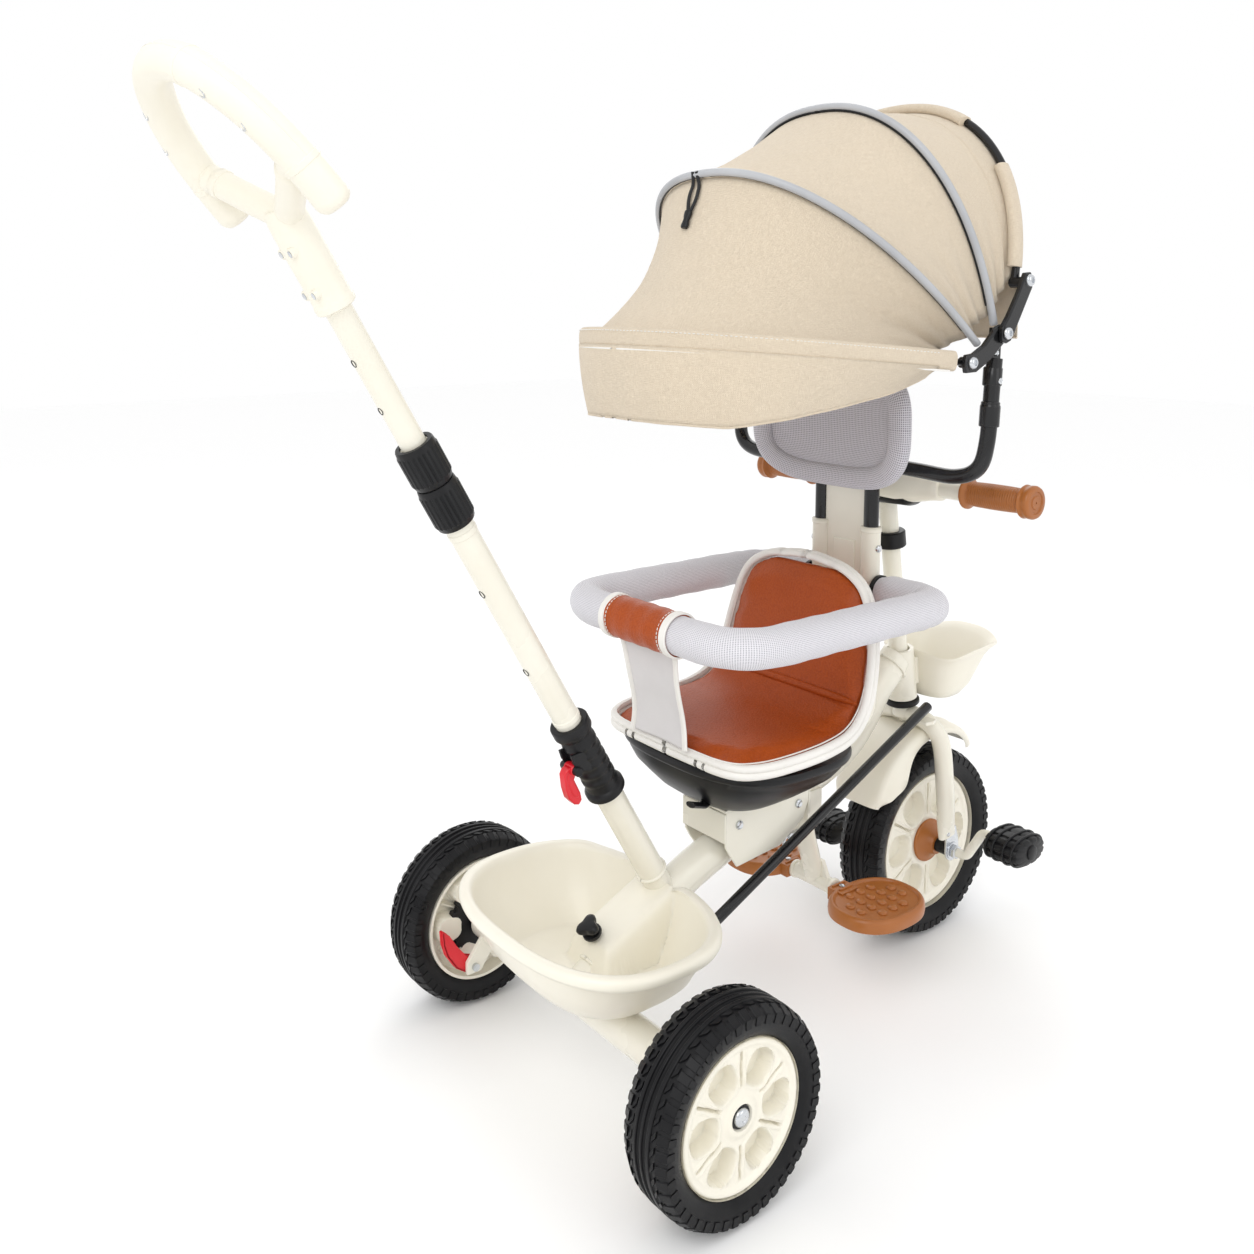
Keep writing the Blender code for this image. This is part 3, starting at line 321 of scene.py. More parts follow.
def bent(corners, radius, steps=8):
    """Straight runs joined by bends; radius is one number or one for each inner corner."""
    radii = radius if isinstance(radius, tuple) else (radius,) * (len(corners) - 2)
    path = [corners[0].copy()]
    for before, corner, after, bend in zip(corners, corners[1:], corners[2:], radii):
        way_in, way_out = (corner - before).normalized(), (after - corner).normalized()
        reach = bend * math.tan(math.acos(max(-1, min(1, way_in.dot(way_out)))) / 2)
        start, end = corner - way_in * reach, corner + way_out * reach
        for step in range(steps + 1):
            t = step / steps
            path.append((1 - t) ** 2 * start + 2 * t * (1 - t) * corner + t * t * end)
    path.append(corners[-1].copy())
    return path


def turned(profile, origin, axis, sides=48, closed=False, side=Z):
    """Turned solid; the profile lists (distance along the axis, radius), and a closed one leaves a bore."""
    return skin([ring(origin + axis * along, axis, radius, radius, sides, side=side)
                 for along, radius in profile], closed=closed)


def plate(outline, origin, across, up, thickness):
    """Flat plate from (across, up) points, thickened evenly about its plane."""
    normal = across.cross(up).normalized()
    return skin([[origin + across * a + up * b + normal * offset for a, b in outline]
                 for offset in (-thickness / 2, thickness / 2)])


def together(*parts):
    """One mesh from several."""
    whole = bmesh.new()
    for part in parts:
        mesh = bpy.data.meshes.new("part")
        part.to_mesh(mesh)
        part.free()
        whole.from_mesh(mesh)
        bpy.data.meshes.remove(mesh)
    return whole


def piece(name, bm, look, body, *nodes, edge=0.0, smooth=0, sharp=38):
    """Finished object on a CAD body in place of the CAD nodes named last.

    `edge` rounds its sharp edges by that width, and `smooth` is its subdivision level."""
    finish, slot = look
    mesh = bpy.data.meshes.new(name)
    bmesh.ops.translate(bm, verts=bm.verts, vec=SHIFT)
    bm.to_mesh(mesh)
    bm.free()
    mesh.materials.append(finish)
    mesh.shade_smooth()
    mesh.set_sharp_from_angle(angle=math.radians(sharp))
    made = bpy.data.objects.new(name, mesh)
    bpy.context.scene.collection.objects.link(made)
    if edge:
        bevel = made.modifiers.new("edge", "BEVEL")
        bevel.width = edge
        bevel.segments = 2
        bevel.limit_method = "ANGLE"
        bevel.angle_limit = math.radians(sharp)
    if smooth:
        surface = made.modifiers.new("smooth", "SUBSURF")
        surface.levels = surface.render_levels = smooth
    if body:
        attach(made, body)
    if nodes:
        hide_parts(*nodes)
    return made


STEER_AXIS = Vector((0, -0.153, 1)).normalized()
STEER_FOOT = Vector((0, 0.525, 0.297))
BAR_FOOT = Vector((0, 0.098, 0.207))
BAR_AXIS = Vector((0, -0.508, 0.861)).normalized()
REAR_AXLE = Vector((0, 0, 0.102))
SOCKET_TOP = 0.1265


def on_bar(distance):
    """Point on the push bar's axis, at a distance up from its foot."""
    return BAR_FOOT + BAR_AXIS * distance


def on_stem(height):
    """Point on the steering axis at a height above the ground."""
    return STEER_FOOT + STEER_AXIS * ((height - STEER_FOOT.z) / STEER_AXIS.z)


def weld_bead(centre, way, half_a, half_b):
    """Ring of weld metal around a joint, slightly uneven as a hand weld is."""
    points = ring(centre, way, half_a, half_b, 72)
    sizes = [0.0021 + 0.0003 * math.sin(23 * step) for step in range(len(points))]
    return bar(points, sizes, 8, closed=True)


def pipe(start, end, outer, inner, sides=40):
    """Straight tube with a bore."""
    axis = (end - start).normalized()
    length = (end - start).length
    return turned([(0, inner), (0, outer), (length, outer), (length, inner)], start, axis, sides, closed=True)


beam_line = curve_through([Vector((0, y, z)) for y, z in (
    (-0.004, 0.106), (0.045, 0.136), (0.121, 0.178), (0.169, 0.199), (0.24, 0.222), (0.315, 0.2455),
    (0.375, 0.264), (0.413, 0.282), (0.444, 0.31), (0.47, 0.342), (0.506, 0.372))], 6)
AXLE_TUBE_END = 0.184
brake_ear = [(-0.01, 0.01), (-0.016, 0.0), (-0.04, -0.03), (-0.04, -0.044), (-0.022, -0.044),
             (0.0, -0.015)]
ears = [plate(brake_ear, REAR_AXLE + X * side * 0.163, Y, Z, 0.005) for _, side in SIDES]
post_cheeks = [plate([(-0.012, -0.022), (0.012, -0.022), (0.012, 0.02), (-0.012, 0.02)],
                     Vector((side * 0.01975, 0.334, 0.228)), Y, Z, 0.0045) for _, side in SIDES]
piece("main_frame_tubes", together(
    pipe(REAR_AXLE - X * AXLE_TUBE_END, REAR_AXLE + X * AXLE_TUBE_END, 0.02, 0.008),
    bar(beam_line, 0.019, 36, half_b=0.0215),
    pipe(on_stem(0.32), on_stem(0.385), 0.019, 0.014),
    pipe(on_bar(-0.03), on_bar(SOCKET_TOP), 0.0155, 0.0138),
    weld_bead(Vector((0, 0.018, 0.119)), Vector((0, 0.86, 0.51)), 0.02, 0.0235),
    weld_bead(on_bar(0.004), BAR_AXIS, 0.0157, 0.0157),
    weld_bead(Vector((0, 0.495, 0.364)), Vector((0, 0.77, 0.64)), 0.0195, 0.0225),
    *ears, *post_cheeks), CREAM_PAINT, "frame", "main_frame", edge=0.0008)


# Rear axle --------------------
# Bright zinc plated rod through both wheels, held by domed cap bolts in black rings.
STEEL = (plain_finish("zinc_plated_steel", (0.55, 0.57, 0.6), (0.72, 0.74, 0.76), 0.24, 0.0006, 0.00003,
                      metallic=1.0, mottle=60.0), "steel")
BLACK_PLASTIC = (plain_finish("black_moulded_plastic", (0.006, 0.006, 0.007), (0.014, 0.014, 0.015), 0.36,
                              0.0007, 0.00005, shine=0.25), "black_plastic")
BOLT_FACE = 0.229
rod_parts = [turned([(-BOLT_FACE, 0.006), (BOLT_FACE, 0.006)], REAR_AXLE, X, 24)]
for name, side in SIDES:
    out = X * side
    rod_parts.append(turned([(BOLT_FACE, 0.0088), (BOLT_FACE + 0.0046, 0.0088), (BOLT_FACE + 0.0064, 0.0078),
                             (BOLT_FACE + 0.0074, 0.0055), (BOLT_FACE + 0.0078, 0.003),
                             (BOLT_FACE + 0.007, 0.0022), (BOLT_FACE + 0.007, 0.0004)],
                            REAR_AXLE, out, 40))
piece("rear_axle_rod", together(*rod_parts), STEEL, "frame", "rear_axle")


# Rear wheels --------------------
# Foamed rubber tyres with two smooth middle ribs, rows of small slanted blocks and square shoulder
# lugs, pressed on cream plastic rims with six recessed pockets, and a toothed black brake disc.
TYRE = (plain_finish("foamed_tyre_rubber", (0.005, 0.005, 0.006), (0.013, 0.013, 0.014), 0.36, 0.0009, 0.0001,
                     mottle=26.0, rough_spread=0.1, shine=0.18), "tyre")
CREAM_PLASTIC = (plain_finish("cream_moulded_plastic", (0.83, 0.79, 0.675), (0.875, 0.84, 0.735), 0.34, 0.001,
                              0.00004), "cream_plastic")

# Geometry Nodes tree that turns copies of one shape round the X axis through a centre.
wheel_copies = bpy.data.node_groups.new("copies_round_an_axle", "GeometryNodeTree")
sockets = {}
for label, kind in (("Shape", "NodeSocketObject"), ("Copies", "NodeSocketInt"), ("Centre", "NodeSocketVector"),
                    ("Finish", "NodeSocketMaterial")):
    sockets[label] = wheel_copies.interface.new_socket(name=label, in_out="INPUT", socket_type=kind).identifier
wheel_copies.interface.new_socket(name="Geometry", in_out="OUTPUT", socket_type="NodeSocketGeometry")
take = wheel_copies.nodes.new("NodeGroupInput")
give = wheel_copies.nodes.new("NodeGroupOutput")
dots = wheel_copies.nodes.new("GeometryNodePoints")
shape = wheel_copies.nodes.new("GeometryNodeObjectInfo")
number = wheel_copies.nodes.new("GeometryNodeInputIndex")
step_turn = math_node(wheel_copies, "DIVIDE", 2 * math.pi, take.outputs["Copies"])
this_turn = math_node(wheel_copies, "MULTIPLY", number.outputs[0], step_turn)
turn_about = wheel_copies.nodes.new("ShaderNodeCombineXYZ")
copies = wheel_copies.nodes.new("GeometryNodeInstanceOnPoints")
real = wheel_copies.nodes.new("GeometryNodeRealizeInstances")
coat = wheel_copies.nodes.new("GeometryNodeSetMaterial")
for start, end in ((take.outputs["Copies"], dots.inputs["Count"]), (take.outputs["Centre"], dots.inputs["Position"]),
                   (take.outputs["Shape"], shape.inputs["Object"]), (this_turn, turn_about.inputs["X"]),
                   (dots.outputs[0], copies.inputs["Points"]),
                   (shape.outputs["Geometry"], copies.inputs["Instance"]),
                   (turn_about.outputs[0], copies.inputs["Rotation"]),
                   (copies.outputs[0], real.inputs[0]), (real.outputs[0], coat.inputs["Geometry"]),
                   (take.outputs["Finish"], coat.inputs["Material"]), (coat.outputs[0], give.inputs[0])):
    wheel_copies.links.new(start, end)


def copies_round(name, shape_bm, count, centre, look, body):
    """Plain mesh of `count` copies of a shape, turned round the X axis through `centre`."""
    unit_mesh = bpy.data.meshes.new("unit")
    shape_bm.to_mesh(unit_mesh)
    shape_bm.free()
    unit_mesh.shade_smooth()
    unit_mesh.set_sharp_from_angle(angle=math.radians(40))
    unit = bpy.data.objects.new("unit", unit_mesh)
    host = bpy.data.objects.new("host", bpy.data.meshes.new("host"))
    for obj in (unit, host):
        bpy.context.scene.collection.objects.link(obj)
    modifier = host.modifiers.new("copies", "NODES")
    modifier.node_group = wheel_copies
    for label, value in (("Shape", unit), ("Copies", count), ("Centre", centre + SHIFT), ("Finish", look[0])):
        modifier[sockets[label]] = value
    bpy.context.view_layer.update()
    plain = bpy.data.meshes.new_from_object(host.evaluated_get(bpy.context.evaluated_depsgraph_get()))
    plain.name = name
    made = bpy.data.objects.new(name, plain)
    bpy.context.scene.collection.objects.link(made)
    for obj in (unit, host):
        bpy.data.objects.remove(obj, do_unlink=True)
    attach(made, body)
    return made


BLOCK_CHAMFER = 0.0009


def block(x_low, x_high, r_base, r_low, r_high, half_turn, slant=0.0):
    """Tread block between two places across the tyre, at the wheel's top; its top slopes with the shoulder."""
    rings = []
    for x, r_top, shift in ((x_low, r_low, -slant), (x_high, r_high, slant)):
        points = ((r_base, 1.0), (r_top - BLOCK_CHAMFER, 1.0), (r_top, 0.82))
        line = [Vector((x, math.sin(-half_turn * share + shift) * r, math.cos(half_turn * share + shift) * r))
                for r, share in points]
        line += [Vector((x, math.sin(half_turn * share + shift) * r, math.cos(half_turn * share + shift) * r))
                 for r, share in reversed(points)]
        rings.append(line)
    return skin(rings)


def tyre_parts(wheel, centre, outer, half_width, bead, body, node, lugs):
    """Carcass, shoulder lugs and slanted inner blocks of one tyre."""
    rim_line = bead + 0.0004
    side_wall = [(0.81, outer * 0.31 + bead * 0.69 - 0.0068), (0.93, outer * 0.42 + bead * 0.58 - 0.003),
                 (0.985, outer * 0.62 + bead * 0.38), (0.985, outer * 0.76 + bead * 0.24),
                 (0.93, outer - 0.0062), (0.8, outer - 0.0036), (0.6, outer - 0.0026)]
    ribs = [(0.4, outer - 0.0022), (0.375, outer - 0.0002), (0.235, outer), (0.21, outer - 0.0024),
            (0.07, outer - 0.0024), (0.045, outer - 0.0001)]
    right = side_wall + ribs
    left = [(-share, radius) for share, radius in reversed(right)]
    profile = [(share * half_width, radius) for share, radius in
               [(0.72, rim_line)] + right + left + [(-0.72, rim_line)]]
    piece(f"{wheel}_tyre_carcass", turned(profile, centre, X, 120, closed=True), TYRE, body, node, edge=0.0006,
          sharp=30)
    step = 2 * math.pi / lugs
    for name, side in SIDES:
        shoulder = block(side * half_width * 0.66, side * half_width * 0.985, outer - 0.011, outer - 0.0009,
                         outer - 0.0058, step * 0.34)
        wall_tab = block(side * half_width * 0.97, side * half_width * 1.005, outer - 0.015, outer - 0.006,
                         outer - 0.0062, step * 0.26)
        inner = block(side * half_width * 0.43, side * half_width * 0.58, outer - 0.006, outer - 0.0006,
                      outer - 0.0008, step * 0.22, slant=side * step * 0.22)
        for label, shape_bm in (("shoulder_lugs", shoulder), ("wall_tabs", wall_tab), ("slanted_blocks", inner)):
            bmesh.ops.recalc_face_normals(shape_bm, faces=shape_bm.faces)
            copies_round(f"{wheel}_{label}_{name}", shape_bm, lugs, centre, TYRE, body)


def ramp(value, low, high):
    """Smooth 0 to 1 step."""
    t = max(0.0, min(1.0, (value - low) / (high - low)))
    return t * t * (3 - 2 * t)


def rim_depth(radius, angle, rim):
    """How far the rim's face stands in or out at a place, for six spokes and six pockets.

    Pockets sit between spokes; a spoke has a groove between two thin ridges."""
    share = radius / rim
    sixth = math.pi / 3
    from_spoke = (angle + sixth / 2) % sixth - sixth / 2
    across = from_spoke * radius
    pocket_across = (sixth / 2 - abs(from_spoke)) * share
    reach = 0.33 if share < 0.72 else 0.135
    pocket_edge = (pocket_across / 0.222) ** 2.3 + (abs(share - 0.72) / reach) ** 2.3
    pocket = ramp(1.06 - pocket_edge, 0.0, 0.22)
    lip_round_pocket = math.exp(-((pocket_edge - 1.26) / 0.14) ** 2)
    depth = -0.0155 * pocket + 0.0011 * lip_round_pocket
    if 0.36 < share < 0.89:
        ends = ramp(share, 0.38, 0.42) * ramp(-share, -0.86, -0.82)
        ridge_at = rim * (0.034 + 0.03 * share)
        depth += ends * 0.0013 * math.exp(-((abs(across) - ridge_at) / 0.001) ** 2)
        depth -= ends * 0.006 * ramp(0.0016 - abs(across), 0.0, 0.0007)
    depth += 0.0026 * ramp(share, 0.86, 0.93) - 0.0034 * ramp(share, 0.965, 1.0)
    depth += 0.002 * ramp(-share, -0.3, -0.22) - 0.003 * ramp(-share, -0.175, -0.155)
    return depth


def rim_face(centre, out, rim, face, bore, sides=432, rows=48):
    """Moulded face of a rim as a fine polar mesh, standing `face` out from the wheel's middle."""
    rings = []
    for row in range(rows + 1):
        radius = bore + (rim - bore) * row / rows
        points = []
        for step in range(sides):
            angle = 2 * math.pi * step / sides
            depth = face + rim_depth(radius, angle, rim)
            points.append(centre + out * depth + Y * math.sin(angle) * radius + Z * math.cos(angle) * radius)
        rings.append(points)
    return rings


REAR_TRACK_HALF = 0.2125
REAR_RIM = 0.0723
for name, side in SIDES:
    out = X * side
    hub = REAR_AXLE + out * REAR_TRACK_HALF
    body = f"rear_wheel_{name}"
    tyre_parts(f"rear_{name}", hub, 0.102, 0.028, REAR_RIM, body, f"rear_tyre_{name}", 46)
    outside = rim_face(hub, out, REAR_RIM, 0.0195, 0.01)
    inside = rim_face(hub, out, REAR_RIM, 0.0, 0.01)
    inner_wall = [[point - out * 0.0085 for point in points] for points in inside]
    shell = skin(outside + [[hub + out * along + (point - hub - out * (point - hub).dot(out)).normalized() * radius
                             for point in outside[-1]]
                            for along, radius in ((0.0226, REAR_RIM), (-0.0235, REAR_RIM), (-0.0235, 0.069),
                                                  (-0.008, 0.0675))] + inner_wall[::-1][6:], closed=True)
    bmesh.ops.recalc_face_normals(shell, faces=shell.faces)
    piece(f"rear_rim_moulding_{name}", shell, CREAM_PLASTIC, body, f"rear_rim_{name}", sharp=60)
    piece(f"hub_ring_{name}", turned([(0.015, 0.0062), (0.015, 0.0112), (0.0182, 0.0118), (0.02, 0.0108),
                                      (0.02, 0.0092), (0.0165, 0.0088), (0.0165, 0.0062)],
                                     hub, out, 40, closed=True), BLACK_PLASTIC, body)
    teeth = 20
    rings = []
    for along, low, high in ((-0.0235, 0.03, 0.03), (-0.024, 0.0405, 0.045), (-0.0155, 0.0405, 0.045),
                             (-0.015, 0.03, 0.03), (-0.015, 0.0175, 0.0175), (-0.0105, 0.0175, 0.0175),
                             (-0.0105, 0.007, 0.007), (-0.0235, 0.007, 0.007)):
        points = []
        for step in range(teeth * 8):
            angle = 2 * math.pi * step / (teeth * 8)
            radius = high if step % 8 < 4 else low
            points.append(hub + out * along + Y * math.sin(angle) * radius + Z * math.cos(angle) * radius)
        rings.append(points)
    piece(f"brake_disc_{name}", skin(rings, closed=True), BLACK_PLASTIC, body, f"brake_ring_{name}", edge=0.0005)


# Foot brakes --------------------
# Red moulded pedals behind the axle: a hollow wedge with ribs, on a steel screw through the ear.
RED_PLASTIC = (plain_finish("red_moulded_plastic", (0.62, 0.006, 0.016), (0.7, 0.012, 0.024), 0.3, 0.0009,
                            0.00004), "red_plastic")
BRAKE_PIVOT = Vector((0.163, -0.03, 0.0655))
for name, side in SIDES:
    pivot = Vector((side * BRAKE_PIVOT.x, BRAKE_PIVOT.y, BRAKE_PIVOT.z))
    middle = pivot + X * side * 0.0068
    outline = [(-0.008, -0.008), (0.004, -0.01), (0.012, -0.01), (0.013, -0.003), (0.012, 0.004), (0.002, 0.009),
               (-0.008, 0.013), (-0.02, 0.028), (-0.03, 0.044), (-0.037, 0.05), (-0.04, 0.05),
               (-0.0385, 0.034), (-0.034, 0.02), (-0.022, 0.002)]
    cheeks = [plate(outline, middle + X * side * shift, Y, Z, 0.0018) for shift in (-0.0027, 0.0027)]
    tread = [pivot + X * side * 0.0068 + Y * y + Z * z for y, z in (
        (-0.0395, 0.05), (-0.038, 0.034), (-0.0335, 0.02), (-0.0215, 0.002), (-0.008, -0.0075))]
    web = skin([[p - X * 0.0036, p + X * 0.0036, p + X * 0.0036 + Vector((0, 0.0022, 0.0008)),
                 p - X * 0.0036 + Vector((0, 0.0022, 0.0008))] for p in tread])
    ribs = [plate([(-0.001, -0.006), (0.001, -0.006), (0.001, 0.008), (-0.001, 0.008)],
                  middle + Y * y + Z * z, Y, Z, 0.006) for y, z in ((-0.012, 0.006), (-0.02, 0.014), (-0.028, 0.026))]
    piece(f"brake_pedal_{name}", together(*cheeks, web, *ribs), RED_PLASTIC, f"brake_{name}",
          f"brake_lever_{name}", edge=0.0006)
    piece(f"brake_screw_{name}", turned([(-0.006, 0.0045), (0.0114, 0.0045), (0.0126, 0.0042), (0.0134, 0.003),
                                         (0.013, 0.0014)], pivot, X * side, 24), STEEL, f"brake_{name}")


# Rear basket --------------------
# Moulded tub over the axle with a thick rolled lip. A tunnel over the beam crosses its floor and
# opens into a notch round the push bar's socket.
def tub_ring(z, half_x, y_back, y_front, power, sides=360):
    """Ring round a tub at a height, from its back to its front."""
    return ring(Vector((0, (y_back + y_front) / 2, z)), Z, half_x, (y_front - y_back) / 2, sides, power)


def tunnel_top(x, y):
    """Height of the tunnel's arched top over a place on the floor, or zero beside it."""
    if y < -0.004:
        return 0.0
    line = 0.124 + 0.46 * min(max(y, 0.0), 0.11)
    arch = 1 - abs(x / 0.038) ** 5
    if arch <= 0:
        return 0.0
    start = ramp(y, -0.004, 0.016)
    return 0.12 + (line - 0.12 + 0.0262) * ramp(arch, 0.0, 0.95) * start


outer = [(0.1245, 0.066, -0.034, 0.056, 2.4), (0.1245, 0.084, -0.052, 0.074, 2.6), (0.1275, 0.092, -0.06, 0.082, 2.6),
         (0.138, 0.1045, -0.07, 0.089, 2.6), (0.15, 0.117, -0.08, 0.0945, 2.6), (0.17, 0.129, -0.0885, 0.102, 2.55),
         (0.188, 0.1372, -0.0955, 0.1075, 2.5), (0.1886, 0.144, -0.101, 0.113, 2.5)]
lip = [(0.1895, 0.1485, -0.105, 0.1168, 2.5), (0.1925, 0.15, -0.1062, 0.118, 2.5), (0.1968, 0.15, -0.1062, 0.118, 2.5),
       (0.2, 0.1484, -0.1048, 0.1165, 2.5), (0.2016, 0.145, -0.1018, 0.1135, 2.5),
       (0.2016, 0.1405, -0.0975, 0.1095, 2.5),
       (0.2, 0.1368, -0.094, 0.106, 2.5)]
inner = []
WALL_ROWS = 26
for row in range(WALL_ROWS + 1):
    t = row / WALL_ROWS
    z = 0.196 - (0.196 - 0.1278) * t
    pull = (1 - t) * 0.0465 + 0.0065 * math.sin(math.pi * t)
    inner.append((z, 0.087 + pull, -0.055 - pull * 0.83, 0.077 + pull * 0.62, 2.5 + 0.1 * t))
FLOOR_ROWS = 24
for row in range(1, FLOOR_ROWS):
    t = 1 - row / FLOOR_ROWS
    inner.append((0.1275, 0.087 * t, 0.011 - 0.066 * t, 0.011 + 0.066 * t, 2.0 + 0.6 * t))
tub_rings = [tub_ring(*values) for values in outer + lip + inner]
for points in tub_rings[len(outer) + len(lip):]:
    for point in points:
        point.z = max(point.z, min(tunnel_top(point.x, point.y), 0.1985))
for points in tub_rings[len(outer):len(outer) + len(lip)]:
    for point in points:
        notch = math.exp(-(abs(point.x) / 0.03) ** 4) * ramp(point.y, 0.08, 0.1)
        bump = math.exp(-((point.x + 0.112) / 0.018) ** 2) * ramp(point.y, 0.02, 0.05)
        point.z -= 0.0085 * notch
        point.y -= 0.006 * notch
        point.z += 0.003 * bump
piece("rear_basket_tub", skin(tub_rings), CREAM_PLASTIC, "frame", "rear_basket", sharp=60)

# Hand screw that holds the basket: a three lobed black knob on a stepped foot.
KNOB_FOOT = Vector((0, 0.02, 0.156))
knob_rings = []
for along, radius, lobes in ((0.008, 0.0098, 0.0), (0.01, 0.0108, 0.0), (0.0125, 0.0105, 0.0), (0.0135, 0.006, 0.0),
                             (0.0165, 0.0055, 0.0), (0.017, 0.01, 0.18), (0.019, 0.0112, 0.24), (0.0215, 0.0112, 0.26),
                             (0.024, 0.01, 0.22), (0.0252, 0.007, 0.1), (0.0256, 0.002, 0.0)):
    points = ring(KNOB_FOOT + BAR_AXIS * along, BAR_AXIS, radius, radius, 60)
    centre = KNOB_FOOT + BAR_AXIS * along
    knob_rings.append([centre + (p - centre) * (1 + lobes * math.cos(3 * 2 * math.pi * i / 60))
                       for i, p in enumerate(points)])
piece("basket_hand_knob", skin(knob_rings), BLACK_PLASTIC, "frame", "basket_knob")


# Head bearing and fork --------------------
# A black bearing ring under the head tube carries a cream fork: a pressed crown, two smooth bent
# legs that flatten at their feet, and bright dropout plates with hexagon nuts.
FRONT_AXLE = Vector((0, 0.56, 0.1225))
piece("head_bearing_ring", turned([(-0.0032, 0.014), (-0.0036, 0.0205), (-0.0022, 0.0216), (0.0016, 0.0216),
                                   (0.0026, 0.0206), (0.0036, 0.019), (0.0036, 0.014)],
                                  on_stem(0.3153), STEER_AXIS, 48, closed=True), BLACK_PLASTIC, "frame",
      "head_bearing")
fork_parts = [
    turned([(0.0, 0.013), (0.01, 0.013), (0.0125, 0.0115), (0.289, 0.0115), (0.29, 0.01)],
           on_stem(0.296), STEER_AXIS, 40)]
dropout_parts, nut_parts, spacer_parts = [], [], []
for name, side in SIDES:
    leg = curve_through([Vector((side * x, y, z)) for x, y, z in (
        (0.0, 0.5262, 0.2982), (0.018, 0.527, 0.2976), (0.04, 0.5308, 0.289), (0.051, 0.5368, 0.265),
        (0.053, 0.544, 0.205), (0.051, 0.551, 0.16), (0.0515, 0.5535, 0.142))], 8)
    count = len(leg)
    rings = []
    for i, (point, way) in enumerate(zip(leg, ways_along(leg))):
        flat = ramp(i / count, 0.7, 1.0)
        start = ramp(-i / count, -0.12, 0.0)
        rings.append(ring(point, way, 0.0112 - 0.0062 * flat, 0.0112 + 0.003 * flat + 0.004 * start, 32, 2.0 + flat))
    fork_parts.append(skin(rings))
    foot = FRONT_AXLE + X * side * 0.053
    outline = []
    for step in range(13):
        angle = math.pi + math.pi * step / 12
        outline.append((math.cos(angle) * 0.0132, math.sin(angle) * 0.0132))
    outline += [(0.0115, 0.014), (0.006, 0.032), (-0.01, 0.032), (-0.013, 0.014)]
    dropout_parts.append(plate(outline, foot + X * side * 0.0012, Y, Z, 0.003))
    for y, z in ((0.556, 0.157), (0.548, 0.148)):
        dropout_parts.append(turned([(0.0028, 0.003), (0.0058, 0.003), (0.0066, 0.0022)],
                                    Vector((side * 0.052, y, z)), X * side, 16))
    nut_parts.append(turned([(0.0554, 0.0112), (0.0572, 0.0112)], FRONT_AXLE, X * side, 32))
    nut_parts.append(turned([(0.0572, 0.009), (0.0625, 0.009), (0.0636, 0.008), (0.0636, 0.0052), (0.0572, 0.0052)],
                            FRONT_AXLE, X * side, 6, closed=True))
    spacer_parts.append(turned([(0.0348, 0.0092), (0.0498, 0.0092), (0.0504, 0.0084)], FRONT_AXLE, X * side, 32))
piece("fork_crown_and_legs", together(*fork_parts), CREAM_PAINT, "steering", "fork", edge=0.0006)
piece("fork_dropouts", together(*dropout_parts), STEEL, "steering", edge=0.0005)
piece("front_axle_nuts", together(*nut_parts), STEEL, "steering", edge=0.0005)
piece("front_axle_spacers", together(*spacer_parts), BLACK_PLASTIC, "front_wheel")

# Arm of the fork that the steering rod pushes, with its screw head.
piece("fork_steering_arm", plate([(-0.02, -0.008), (0.006, -0.01), (0.01, 0.0), (0.006, 0.01), (-0.02, 0.008)],
                                 Vector((0.043, 0.516, 0.2995)), X, Y, 0.005), CREAM_PAINT, "steering",
      edge=0.001)


# Front fender --------------------
# Moulded cream mudguard over the front tyre: a shallow channel whose sides drop at the back in a
# wavy lobe, with two embossed ridges towards its front.
FENDER_CENTRE, FENDER_RADIUS = Vector((0, 0.545, 0.165)), 0.1215
FENDER_STEPS = 72
fender_rings = []
for step in range(FENDER_STEPS + 1):
    share = step / FENDER_STEPS
    turn_angle = math.radians(38 + 124 * share)
    radial = Vector((0, math.cos(turn_angle), math.sin(turn_angle)))
    wide = 0.0365 - 0.012 * (1 - min(1, share * 3.4)) ** 2.2 - 0.006 * ramp(share, 0.93, 1.0)
    skirt = (0.01 + 0.026 * math.exp(-((share - 0.8) / 0.15) ** 2) + 0.006 * ramp(share, 0.2, 0.5)
             - 0.008 * ramp(share, 0.92, 1.0))
    line = []
    for x_share, drop in ((-1.0, skirt), (-1.0, skirt * 0.66), (-1.0, skirt * 0.34 + 0.002), (-0.985, 0.0066),
                          (-0.93, 0.0034), (-0.82, 0.0014), (-0.66, 0.0003), (-0.42, 0.0), (-0.3, 0.0), (-0.22, 0.0),
                          (-0.14, 0.0), (0.0, 0.0)):
        line.append((x_share, drop))
    line += [(-x_share, drop) for x_share, drop in reversed(line[:-1])]
    ridge = ramp(share, 0.1, 0.16) * ramp(-share, -0.42, -0.34)
    section = []
    for x_share, drop in line:
        emboss = 0.0016 * ridge * math.exp(-((abs(x_share) - 0.3) / 0.09) ** 2)
        section.append((x_share * wide, FENDER_RADIUS - drop + emboss))
    under = [(x * (1 - 0.0026 / wide), r - 0.0024) for x, r in reversed(section)]
    fender_rings.append([FENDER_CENTRE + X * x + radial * r for x, r in section + under])
piece("front_mudguard", skin(fender_rings), CREAM_PLASTIC, "steering", "front_fender", edge=0.0007, sharp=50)


